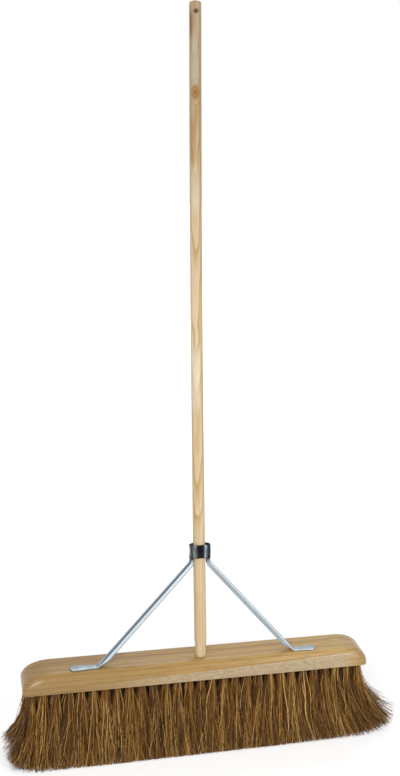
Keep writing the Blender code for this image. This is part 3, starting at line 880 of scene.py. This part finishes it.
handle = turned("handle_wood", handle_profile(), None, HANDLE_SIDES)
hole_place = frame_at((0, 0, HANDLE_REACH - HANG_HOLE_FROM_TOP), HANG_HOLE_AXIS, (1, 0, 0))
straight, flared = HANG_HOLE_DEPTHS
rim = HANG_HOLE_RADIUS + HANG_HOLE_FLARE
flare = [(rim, -flared), (HANG_HOLE_RADIUS, -straight), (HANG_HOLE_RADIUS, straight), (rim, flared)]
cut(handle, turned("hang_hole", flare, hole_place, HANG_HOLE_SIDES))
for vertex in handle.data.vertices:
    share = min(1.0, max(0.0, vertex.co.z / HANDLE_REACH))
    vertex.co.x -= BOW * math.sin(math.pi * share)
handle_place = frame_at(AXIS_FOOT, AXIS, (1, 0, 0))
handle.data.transform(handle_place)
finish_piece(handle, pale, "handle_wood", "handle")

socket = [(SPIGOT_END_RADIUS + GAP, -SOCKET_DEPTH - GAP), (SPIGOT_RADIUS + GAP, 0.0)]
socket += [(SPIGOT_RADIUS + GAP, SOCKET_CLEARANCE)]
cut(head, turned("socket", socket, handle_place, HANDLE_SIDES))

# %% [markdown]
# ## The stay
# Each leg is one strip of sheet: a flat round-ended foot, a trough whose back faces out, and a flat upright
# beside the band. The section changes all the way, which no extrusion along a curve can do, so the strip is
# wrapped too: it is a row of sections along a route with two round bends.

# %% Stay route and sections
LEG_WIDTH = 0.0085
LEG_DEPTH = 0.0086
NECK_DEPTH = 0.0066
LEG_CORNER = 0.0024
FLAT_CORNER = 0.001
HEELS = {-1: (0.179, 0.0460), 1: (0.168, 0.039)}
FOOT_WIDTH = 0.0152
FOOT_NECK_WIDTH = 0.0115
FOOT_OFFSET = -0.013
UPRIGHT_WIDTH = 0.013
UPRIGHT_DROP = 0.007
PRESSING_RUN = 0.022
FOOT_BEND_RADIUS = 0.0036
BEND_DEPTH = 0.0026
UPRIGHT_BEND_RADIUS = 0.010
COLLAR_CENTRE = 0.179
COLLAR_HEIGHT = 0.0225
COLLAR_WIDTH = 2 * (HANDLE_RADIUS + 0.004 + SHEET)
COLLAR_DEPTH = 2 * (HANDLE_RADIUS + 0.0004 + SHEET)
COLLAR_CORNER = 0.0085
UPRIGHT_FACE = COLLAR_WIDTH / 2 + GAP + FLAT_DEPTH
ROUND_STEPS = 14
CORNER_TURNS = 6
INSIDE_TURNS = 4
RUN_STEPS = 8
PRESSING_STEPS = 9
EDGE_LIP = 0.0003
EDGE_RIM = 0.0014
BAND_ROOM = 0.0006
TOP_BEVEL = 0.0006


def strip_section(width, depth):
    """The pressed strip in (across, out) pairs: a trough whose back faces out."""
    half = width / 2
    formed = (depth - FLAT_DEPTH) / (LEG_DEPTH - FLAT_DEPTH)
    corner = min(FLAT_CORNER + (LEG_CORNER - FLAT_CORNER) * formed, half * 0.9)
    inner = min(LEG_CORNER - SHEET, (depth - SHEET) / 2)
    lip = EDGE_LIP
    rim = min(EDGE_RIM, (depth - corner) / 2)
    right = [(half - corner + a, -corner + b) for a, b in arc(corner, 90, 0, CORNER_TURNS)]
    right += [(half, -depth + lip + rim), (half, -depth + lip), (half - lip, -depth)]
    right += [(half - SHEET + lip, -depth), (half - SHEET, -depth + lip)]
    right += [(half - SHEET - inner + a, -SHEET - inner + b) for a, b in arc(inner, 0, 90, INSIDE_TURNS)]
    return right + [(-a, b) for a, b in reversed(right)]


# How dark the steel is painted at each point of half a section, at the rounded corner and then at the free
# edge:
# painted shade and painted dark reflection, and at the cut edge bare steel as well.
LEFT_CORNER_SHADE = (0.36, 0.9, 1.0, 1.0, 1.0, 0.6, 0.06)
LEFT_EDGE_SHADE = (0.06, 0.95, 0.6, 0.3, 0.5)
RIGHT_CORNER_SHADE = (0.42, 0.42, 0.36, 0.22, 0.3, 0.42, 0.5)
RIGHT_EDGE_SHADE = (0.52, 0.6, 0.4, 0.3, 0.5)
# On the feet: painted shade on the left, and on the right a paler rim as a painted highlight.
FOOT_CORNER_SHADE = {-1: (0.5, 0.5, 0.5, 0.55, 0.6, 0.7, 0.8), 1: (0.4, 0.3, 0.2, 0.1, 0.0, 0.05, 0.1)}
INSIDE_SHADE = 0.55
BESIDE_BAND_SHADE = 0.92
FOOT_EDGE_SHADE = 0.7
BAND_SHADE_FROM, BAND_SHADE_RUN = 0.158, 0.008
FOOT_RISE_FROM, FOOT_RISE_RUN = 0.003, 0.004


def strip_painted_shade(side, beside_band, on_foot):
    """How dark the steel is painted all round a section: painted shade and dark reflection, strong on the
    left leg's edges and softer on the right.
    """
    near = LEFT_CORNER_SHADE + LEFT_EDGE_SHADE if side < 0 else RIGHT_CORNER_SHADE + RIGHT_EDGE_SHADE
    near = list(near) + [INSIDE_SHADE] * (INSIDE_TURNS + 1)
    near = [value + (BESIDE_BAND_SHADE - value) * beside_band for value in near]
    foot = list(FOOT_CORNER_SHADE[side]) + [FOOT_EDGE_SHADE] * (len(near) - len(FOOT_CORNER_SHADE[side]))
    near = [value + (flat - value) * on_foot for value, flat in zip(near, foot)]
    return near + near[::-1]


def bend(before, corner, after, radius, steps):
    """Points and directions along a round bend where two straight runs meet."""
    first = (corner - before).normalized()
    second = (after - corner).normalized()
    angle = first.angle(second)
    towards = (second - first * math.cos(angle)) / math.sin(angle)
    start = corner - first * radius * math.tan(angle / 2)
    centre = start + towards * radius
    found = []
    for i in range(steps + 1):
        a = angle * i / steps
        spot = centre + (first * math.sin(a) - towards * math.cos(a)) * radius
        found.append((spot, first * math.cos(a) + towards * math.sin(a)))
    return found


def ease(first, last, share):
    """A soft passage from the first value to the last as the share goes from 0 to 1."""
    return first + (last - first) * share * share * (3 - 2 * share)


def passed(value, start, run):
    """0 before the start, 1 after the run, and the share of the run in between."""
    return min(1.0, max(0.0, (value - start) / run))


def strip_axes(way, side):
    """The directions across the strip and out of its back, where it runs this way."""
    flat = Vector((0, -side, 0))
    across = (flat - way * way.dot(flat)).normalized()
    return across, way.cross(across)


def straight_run(start, reach, way, before, after, steps):
    """Stations of a straight run, whose (width, depth) pass softly from those before to those after."""
    found = []
    for i in range(1, steps + 1):
        width, depth = (ease(first, last, i / steps) for first, last in zip(before, after))
        found.append((start + reach * i / steps, way, width, depth))
    return found


def stay_stations(side):
    """(point, direction, width, depth) along the strip, from the round end of the foot to the top."""
    heel_run, foot_length = HEELS[side]
    face = HEAD_TOP + GAP + FLAT_DEPTH
    end = Vector((side * (heel_run + foot_length), FOOT_OFFSET, face))
    heel = Vector((side * heel_run, FOOT_OFFSET, face))
    collar_foot = COLLAR_CENTRE - COLLAR_HEIGHT / 2
    shoulder = on_axis(collar_foot - UPRIGHT_DROP, side * UPRIGHT_FACE)
    top = on_axis(collar_foot + COLLAR_HEIGHT, side * UPRIGHT_FACE)
    along = (heel - end).normalized()
    up = (shoulder - heel).normalized()
    found = []
    for i in range(1, ROUND_STEPS + 1):
        a = math.pi / 2 * i / ROUND_STEPS
        spot = end + along * FOOT_WIDTH / 2 * (1 - math.cos(a))
        found.append((spot, along, FOOT_WIDTH * math.sin(a), FLAT_DEPTH))
    lower = bend(end, heel, shoulder, FOOT_BEND_RADIUS, ROUND_STEPS)
    flat_start = found[-1][0]
    neck = along * (lower[0][0] - flat_start).length
    sizes = ((FOOT_WIDTH, FLAT_DEPTH), (FOOT_NECK_WIDTH, FLAT_DEPTH))
    found += straight_run(flat_start, neck, along, *sizes, RUN_STEPS)[:-1]
    for spot, way in lower:
        across, out = strip_axes(way, side)
        room = spot.z - heel.z + FLAT_DEPTH - abs(across.z) * FOOT_NECK_WIDTH / 2
        found.append((spot, way, FOOT_NECK_WIDTH, min(BEND_DEPTH, room / abs(out.z))))
    upper = bend(heel, shoulder, top, UPRIGHT_BEND_RADIUS, ROUND_STEPS)
    sizes = ((FOOT_NECK_WIDTH, found[-1][3]), (LEG_WIDTH, LEG_DEPTH))
    found += straight_run(lower[-1][0], up * PRESSING_RUN, up, *sizes, PRESSING_STEPS)
    found.append((upper[0][0] - up * PRESSING_RUN, up, LEG_WIDTH, LEG_DEPTH))
    for i, (spot, way) in enumerate(upper):
        found.append((spot, way, LEG_WIDTH, ease(LEG_DEPTH, NECK_DEPTH, i / ROUND_STEPS)))
    bend_end = upper[-1][0]
    rise = on_axis(collar_foot - BAND_ROOM, side * UPRIGHT_FACE) - bend_end
    sizes = ((LEG_WIDTH, NECK_DEPTH), (UPRIGHT_WIDTH, FLAT_DEPTH))
    found += straight_run(bend_end, rise, AXIS, *sizes, RUN_STEPS)
    found.append((top - AXIS * TOP_BEVEL, AXIS, UPRIGHT_WIDTH, FLAT_DEPTH))
    found.append((top, AXIS, UPRIGHT_WIDTH - 2 * TOP_BEVEL, FLAT_DEPTH))
    return found


stays = {}
for side, word in SIDES:
    rings, painted_shade_values = [], []
    for spot, way, width, depth in stay_stations(side):
        across, out = strip_axes(way, side)
        rings.append([spot + across * a + out * b for a, b in strip_section(width, depth)])
        height = (spot - AXIS_FOOT).dot(AXIS)
        # Painted shade grows beside the band, and the feet take their own painted shade.
        beside_band = ease(0.0, 1.0, passed(height, BAND_SHADE_FROM, BAND_SHADE_RUN))
        on_foot = 1.0 - passed(spot.z - HEAD_TOP, FOOT_RISE_FROM, FOOT_RISE_RUN)
        painted_shade_values.append(strip_painted_shade(side, beside_band, on_foot))
    stays[side] = wrap(f"stay_{word}_steel", rings, painted_shade_values)
    print("stay", word, len(rings), "sections")

# %% [markdown]
# ## The band round the handle
# One strip of the same sheet is bent round the handle and riveted to both uprights. It starts as a box: the
# four upright edges are rounded, the two ends are taken off, and the wall gets its thickness inwards.

# %% Band
BAND_CORNER_STEPS = 12
BAND_EDGE_ROUND = 0.0002

bpy.ops.object.select_all(action="DESELECT")
bpy.ops.mesh.primitive_cube_add(size=1, scale=(COLLAR_WIDTH, COLLAR_DEPTH, COLLAR_HEIGHT))
band = fresh("collar_band")
bpy.ops.object.mode_set(mode="EDIT")
pick(band, "edges", lambda middle, edge: abs(middle.z) < 0.001)
bpy.ops.mesh.bevel(offset=COLLAR_CORNER, segments=BAND_CORNER_STEPS, affect="EDGES")
pick(band, "faces", lambda middle, face: abs(face.normal.z) > 0.9)
bpy.ops.mesh.delete(type="FACE")
bpy.ops.object.mode_set(mode="OBJECT")
apply_modifier(band, "SOLIDIFY", thickness=SHEET, offset=-1)
soft_edge = {"width": BAND_EDGE_ROUND, "segments": 2, "limit_method": "ANGLE"}
apply_modifier(band, "BEVEL", angle_limit=math.radians(60), **soft_edge)
band.data.transform(frame_at(on_axis(COLLAR_CENTRE), AXIS, (1, 0, 0)))
print("band", round(COLLAR_WIDTH * 1000, 1), "by", round(COLLAR_DEPTH * 1000, 1), "mm")

# %% Rivets
GRIP = SHEET + GAP + FLAT_DEPTH
RIVET_CLEARANCE = 0.005
for side, word in SIDES:
    place = frame_at(on_axis(COLLAR_CENTRE, side * (COLLAR_WIDTH / 2 - SHEET)), (side, 0, 0), AXIS)
    tail = [(RIVET_TAIL_RADIUS * c, -GAP - RIVET_TAIL_HEIGHT * s) for c, s in arc(1, 85, 0, 8)]
    shaft = [(RIVET_RADIUS, -GAP), (RIVET_RADIUS, GRIP + GAP)]
    dome = [(RIVET_HEAD_RADIUS * c, GRIP + GAP + RIVET_HEAD_HEIGHT * s) for c, s in arc(1, 0, 85, 10)]
    profile = tail + shaft + dome
    rivet = turned(f"rivet_{word}_steel", profile, place)
    finish_piece(rivet, bright_zinc, "bright_zinc", f"rivet_{word}")
    for plate in (stays[side], band):
        reach = (-RIVET_CLEARANCE, GRIP + RIVET_CLEARANCE)
        cut(plate, drill("rivet_hole", RIVET_RADIUS + GAP, *reach, place, HOLE_ROUNDNESS))

# %% Screws
PUNCH_TAPER = (0.35, 0.7, 1.0)
FOOT_SCREW_INSETS = {-1: (0.0105, 0.0320), 1: (0.0105, 0.0285)}
SCREW_TURNS = {-1: (18, 61), 1: (40, 7)}
HEEL_ROOM = 0.005
FACE_ROOM = 0.0002


def cross_punch(depth, reach, width):
    """A tapered cross that presses the driver recess into a screw head."""
    blades = []
    for turn_share in (0, 1):
        bpy.ops.object.select_all(action="DESELECT")
        bpy.ops.mesh.primitive_cube_add(size=1, scale=(2 * reach, width, 2 * depth))
        blade = fresh("punch_blade")
        bpy.ops.object.mode_set(mode="EDIT")
        pick(blade, "verts", lambda middle, vertex: middle.z < 0)
        bpy.ops.transform.resize(value=PUNCH_TAPER, center_override=(0, 0, -depth))
        bpy.ops.object.mode_set(mode="OBJECT")
        blade.data.transform(Matrix.Rotation(math.pi / 2 * turn_share, 4, "Z"))
        blades.append(blade)
    apply_modifier(blades[0], "BOOLEAN", operation="UNION", solver="EXACT", object=blades[1])
    bpy.data.objects.remove(blades[1], do_unlink=True)
    return blades[0]


def shank():
    """The pointed end of a wood screw, from the point up."""
    return [(SCREW_POINT_RADIUS, -SCREW_LENGTH), (SCREW_RADIUS, -SCREW_LENGTH + SCREW_POINT)]


def foot_screw(name, place):
    """A countersunk screw whose head is flush with the foot."""
    profile = shank() + [
        (SCREW_RADIUS, -SCREW_HEAD_DEPTH),
        (SCREW_HEAD_RADIUS, -SCREW_HEAD_RIM),
        (SCREW_HEAD_RADIUS - SCREW_HEAD_RIM / 2, 0.0),
    ]
    screw = turned(name, profile)
    cut(screw, cross_punch(0.0009, 0.0015, 0.0005))
    screw.data.transform(place)
    return screw


seat_profile = [
    (SCREW_RADIUS + GAP, -SCREW_LENGTH - GAP),
    (SCREW_RADIUS + GAP, -SCREW_HEAD_DEPTH),
    (SCREW_HEAD_RADIUS + GAP, -GAP),
    (SCREW_HEAD_RADIUS + GAP, 2 * GAP),
]
foot_face = HEAD_TOP + GAP + FLAT_DEPTH
for side, word in SIDES:
    heel_run, foot_length = HEELS[side]
    for number, inset in enumerate(FOOT_SCREW_INSETS[side], 1):
        spot = Vector((side * (heel_run + foot_length - inset), FOOT_OFFSET, foot_face))
        spin = Matrix.Rotation(math.radians(SCREW_TURNS[side][number - 1]), 4, "Z")
        place = Matrix.Translation(spot) @ spin
        screw = foot_screw(f"foot_screw_{word}_{number}_steel", place)
        # The screw heads take the foot's painted shade.
        point_values(screw.data, "painted_shade_and_edge", [FOOT_CORNER_SHADE[side][0]] * len(screw.data.vertices))
        finish_piece(screw, bright_zinc, "bright_zinc", f"foot_screw_{word}_{number}", angle=30)
        for cutter_of in (stays[side], head):
            cut(cutter_of, turned("seat", seat_profile, place))
    # The seats' rims are new points without painted shade, so they take the foot's.
    foot = stays[side].data
    for vertex, value in zip(foot.vertices, foot.attributes["painted_shade_and_edge"].data):
        beside_hole = abs(vertex.co.y - FOOT_OFFSET) < SCREW_HEAD_RADIUS + 2 * GAP
        on_face = abs(vertex.co.z - foot_face) < FACE_ROOM
        if beside_hole and on_face and abs(vertex.co.x) > heel_run + HEEL_ROOM:
            value.value = FOOT_CORNER_SHADE[side][0]

# %% Screw at the back of the band
SCREW_HOLE_CLEARANCE = 0.004

face = on_axis(COLLAR_CENTRE, 0, COLLAR_DEPTH / 2 + GAP)
place = frame_at(face, ACROSS, (1, 0, 0))
profile = shank() + [(SCREW_RADIUS, 0.0)]
profile += [(SCREW_HEAD_RADIUS * c, SCREW_HEAD_DEPTH * s) for c, s in arc(1, 0, 86, 10)]
back_screw = turned("collar_screw_steel", profile)
punch = cross_punch(0.0016, 0.0019, 0.0007)
punch.data.transform(Matrix.Translation((0, 0, SCREW_HEAD_DEPTH)))
cut(back_screw, punch)
back_screw.data.transform(place)
finish_piece(back_screw, bright_zinc, "bright_zinc", "collar_screw", angle=30)
for cutter_of in (band, handle):
    reach = (-SCREW_LENGTH - GAP, SCREW_HOLE_CLEARANCE)
    cut(cutter_of, drill("screw_hole", SCREW_RADIUS + GAP, *reach, place, HOLE_ROUNDNESS))

finish_piece(head, wood, "head_wood", "head_block")
for side, word in SIDES:
    finish_piece(stays[side], bright_zinc, "bright_zinc", f"stay_{word}")
finish_piece(band, dark_zinc, "dark_zinc", "collar")

# %% [markdown]
# ## The coir
# A tuft is a bunch of fibres folded in half and pushed into its hole. Outside the head they fan out, gather
# into small locks, wave a little and are cut level where they meet the floor. Towards the ends of the head
# they lean out further and their tips are raised. Over thirty thousand fibres can't be laid by hand, so one
# fibre is modelled, a thin three-sided rod with a few cuts along it, and its points are then laid
# along every fibre's own line. The front and back rows are laid twice, as they are the ones that show.

# %% One fibre
FIBRE_CUTS = 6
FIBRE_RADIUS = 0.00042

bpy.ops.object.select_all(action="DESELECT")
bpy.ops.mesh.primitive_cylinder_add(vertices=3, radius=1, depth=1, location=(0, 0, 0.5))
fibre = fresh("one_fibre")
bpy.ops.object.mode_set(mode="EDIT")
for i in range(1, FIBRE_CUTS + 1):
    bpy.ops.mesh.select_all(action="SELECT")
    bpy.ops.mesh.bisect(plane_co=(0, 0, i / (FIBRE_CUTS + 1)), plane_no=(0, 0, 1))
bpy.ops.object.mode_set(mode="OBJECT")
fibre_points = np.array([vertex.co for vertex in fibre.data.vertices])
fibre_faces = [list(face.vertices) for face in fibre.data.polygons]
bpy.data.objects.remove(fibre, do_unlink=True)
print("one fibre:", len(fibre_points), "points,", len(fibre_faces), "faces")

# %% Laying the fibres of a row
SEED = 20261
FIBRES_PER_TUFT = 150
LOCKS = 9
LOCK_BLUR = 0.6
ROOT_SINK = 0.003
ROOT_ROOM = 0.0005
# How a tuft gets wider: fast at first and slowly later, as shares of its width in the hole.
SWELL_FAST, SWELL_FAST_REACH = 1.15, 0.28
SWELL_SLOW, SWELL_SLOW_POWER = 0.9, 1.3
# How far the tips lean, in metres: by place, by lock, by fibre, and for strays and golden fibres.
END_LEANS = {-1: 0.030, 1: 0.062}
LEAN_POWER = 5
MIDDLE_LEAN = 0.004
DEPTH_LEAN = 0.030
LOCK_LEAN = 0.0078
FIBRE_LEAN, END_FIBRE_LEAN = 0.0075, 0.007
STRAY_SHARE, STRAY_LEAN = 0.09, 0.013
GOLDEN_SHARE, GOLDEN_LEAN = 0.06, 0.012
# Waves, curves and thickness.
WAVE = 0.0036
WAVE_TURNS, PHASE_BLUR = (0.6, 1.7), 0.9
CURVE, END_CURVE = (1.4, 2.8), {-1: 0.8, 1: 0.35}
THICKNESS_SPREAD, THICKNESS_LIMITS = 0.25, (0.65, 1.35)
TAPER = 0.15
# At each side: where the rounded end of the brush starts, where it ends, and how fast its tips rise.
TIP_REACH = {-1: (0.286, 0.3370, 5.0), 1: (0.300, 0.3828, 1.6)}
DEPTH_REACH = 0.0535
CORNER_SHAPE = 2.0
PULL_SPREAD, PULL_POWER = 0.3, 1.5
TIP_BLUR = 0.0006
RAGGED_LOCK, RAGGED_FIBRE, RAGGED_END = 0.0013, 0.0011, 4
# Tone and shade.
TONE, TONE_SHADE_TO_RIGHT, GOLDEN_TONE = 0.36, 0.02, 0.18
TONE_LOCK, TONE_FIBRE = 0.11, 0.29
GAP_SHADE, OUTER_SHADE, TIP_SHADE = 0.14, 0.8, 0.2
GAP_LIT, OUTER_LIT, TIP_FROM = (0.12, 0.7), (0.0, 0.2), 0.65


def smooth(values, start, end):
    """0 before start, 1 after end, with a soft passage between them."""
    share = np.clip((values - start) / (end - start), 0, 1)
    return share * share * (3 - 2 * share)


def tuft_leans(root_x, root_y, side, end_share, lock, chance):
    """How far each tip of a tuft leans along and across the head, and which fibres are golden."""
    n = FIBRES_PER_TUFT
    lean_x = side * END_LEANS[side] * end_share + MIDDLE_LEAN * (1 - end_share)
    lean_y = root_y * DEPTH_LEAN / OUTER_ROW
    lean = np.array([lean_x, lean_y]) + chance.normal(0, LOCK_LEAN, (LOCKS, 2))[lock]
    lean = lean + chance.normal(0, FIBRE_LEAN + END_FIBRE_LEAN * end_share, (n, 2))
    stray = chance.uniform(0, 1, n) < STRAY_SHARE
    lean[stray] += chance.normal(0, STRAY_LEAN, (int(stray.sum()), 2))
    golden = chance.uniform(0, 1, n) < GOLDEN_SHARE
    lean[golden] += chance.normal(0, GOLDEN_LEAN, (int(golden.sum()), 2))
    return lean, golden


def gather_tips(tip, side, chance):
    """Keeps the tips inside the brush's rounded end, and says how far each is past where that starts."""
    start, limit, _ = TIP_REACH[side]
    tip[:, 1] = np.clip(tip[:, 1], -DEPTH_REACH, DEPTH_REACH)
    past = np.maximum(0.0, np.abs(tip[:, 0]) - start)
    outside = (past / (limit - start)) ** CORNER_SHAPE + np.abs(tip[:, 1] / DEPTH_REACH) ** CORNER_SHAPE
    pull = np.where(past > 0, np.maximum(1.0, outside) ** (-1 / CORNER_SHAPE), 1.0)
    shorter = 1 - PULL_SPREAD * chance.uniform(0, 1, len(tip)) ** PULL_POWER
    pull = pull * np.where(pull < 1, shorter, 1.0)
    tip[:, 1] = tip[:, 1] * pull + chance.normal(0, TIP_BLUR, len(tip))
    tip[:, 0] = np.where(past > 0, np.sign(tip[:, 0]) * (start + past * pull), tip[:, 0])
    return past * pull


def lay_row(row, chance):
    """Places of every point of every fibre in this row, with each point's tone and shade."""
    spots, tones, shades = [], [], []
    n = FIBRES_PER_TUFT
    s = fibre_points[None, :, 2]
    ring = fibre_points[:, :2]
    top = HEAD_BASE + ROOT_SINK
    swell = 1 + SWELL_FAST * (1 - np.exp(-s / SWELL_FAST_REACH)) + SWELL_SLOW * s**SWELL_SLOW_POWER
    for root_x, root_y in tuft_places(row):
        side = -1 if root_x < 0 else 1
        end_share = min(1.0, abs(root_x) / OUTER_TUFT) ** LEAN_POWER
        turn_of = chance.uniform(0, 2 * math.pi, n)
        reach = np.sqrt(chance.uniform(0, 1, n)) * (HOLE_RADIUS - ROOT_ROOM)
        offset = np.stack([reach * np.cos(turn_of), reach * np.sin(turn_of)], 1)
        lock = turn_of / (2 * math.pi) * LOCKS + chance.normal(0, LOCK_BLUR, n)
        lock = lock.astype(int) % LOCKS
        lean, golden = tuft_leans(root_x, root_y, side, end_share, lock, chance)
        wave = chance.normal(0, WAVE, (n, 2)) + chance.normal(0, WAVE, (LOCKS, 2))[lock]
        phase = chance.uniform(0, 2 * math.pi, LOCKS)[lock] + chance.normal(0, PHASE_BLUR, n)
        turns = chance.uniform(*WAVE_TURNS, n)
        curve = (chance.uniform(*CURVE, n) + END_CURVE[side] * end_share)[:, None]
        thick = np.clip(np.exp(chance.normal(0, THICKNESS_SPREAD, n)), *THICKNESS_LIMITS)
        rest = np.array([root_x, root_y]) + offset * swell[0, -1]
        tip = rest + lean
        past = gather_tips(tip, side, chance)
        lean = tip - rest
        ragged = np.abs(chance.normal(0, RAGGED_LOCK, LOCKS))[lock]
        ragged = (ragged + np.abs(chance.normal(0, RAGGED_FIBRE, n))) * (1 + RAGGED_END * end_share)
        tip_z = TIP_REACH[side][2] * past**2 + ragged
        waving = np.sin(s * turns[:, None] * 2 * math.pi + phase[:, None]) - np.sin(phase)[:, None]
        waving = waving * s**0.7 * (1.1 - s)
        radius = (FIBRE_RADIUS * thick)[:, None] * (1 - TAPER * s)
        x = root_x + offset[:, :1] * swell + lean[:, :1] * s**curve + wave[:, :1] * waving
        y = root_y + offset[:, 1:] * swell + lean[:, 1:] * s**curve + wave[:, 1:] * waving
        z = top + (tip_z[:, None] - top) * s
        spin = chance.uniform(0, 2 * math.pi, n)[:, None]
        x = x + radius * (ring[:, 0] * np.cos(spin) - ring[:, 1] * np.sin(spin))
        y = y + radius * (ring[:, 0] * np.sin(spin) + ring[:, 1] * np.cos(spin))
        spots.append(np.stack([x, y, z], 2))
        # The tone falls a little towards the right end: painted shade.
        tone = TONE - TONE_SHADE_TO_RIGHT * root_x / OUTER_TUFT + chance.normal(0, TONE_LOCK, LOCKS)[lock]
        tone = tone + chance.normal(0, TONE_FIBRE, n) + GOLDEN_TONE * golden
        tones.append(np.repeat(np.clip(tone, 0, 1), len(fibre_points)))
        inside = abs(row) < ROWS_EACH_WAY and abs(root_x) < OUTER_TUFT - TUFT_PITCH
        dark, lit_from = (GAP_SHADE, GAP_LIT) if inside else (OUTER_SHADE, OUTER_LIT)
        lit = dark + (1 - dark) * smooth(fibre_points[:, 2], *lit_from)
        shades.append(np.tile(lit * (1 - TIP_SHADE * smooth(fibre_points[:, 2], TIP_FROM, 1.0)), n))
    return np.concatenate(spots).reshape(-1, 3), np.concatenate(tones), np.concatenate(shades)


chance = np.random.default_rng(SEED)
layers = [(row, "") for row in ROWS] + [(row, "_outer") for row in ROWS if abs(row) == ROWS_EACH_WAY]
for row, layer in layers:
    number = row + ROWS_EACH_WAY + 1
    name = f"coir_row_{number}{layer}"
    spots, tones, shades = lay_row(row, chance)
    starts = range(0, len(spots), len(fibre_points))
    faces = [[start + corner for corner in face] for start in starts for face in fibre_faces]
    mesh = bpy.data.meshes.new(name)
    mesh.from_pydata(spots.tolist(), [], faces)
    point_values(mesh, "tone", tones)
    point_values(mesh, "shade", shades)
    piece = bpy.data.objects.new(name, mesh)
    bpy.context.collection.objects.link(piece)
    face_outwards(piece)
    finish_piece(piece, coir, "coir", f"bristle_row_{number}", angle=80)
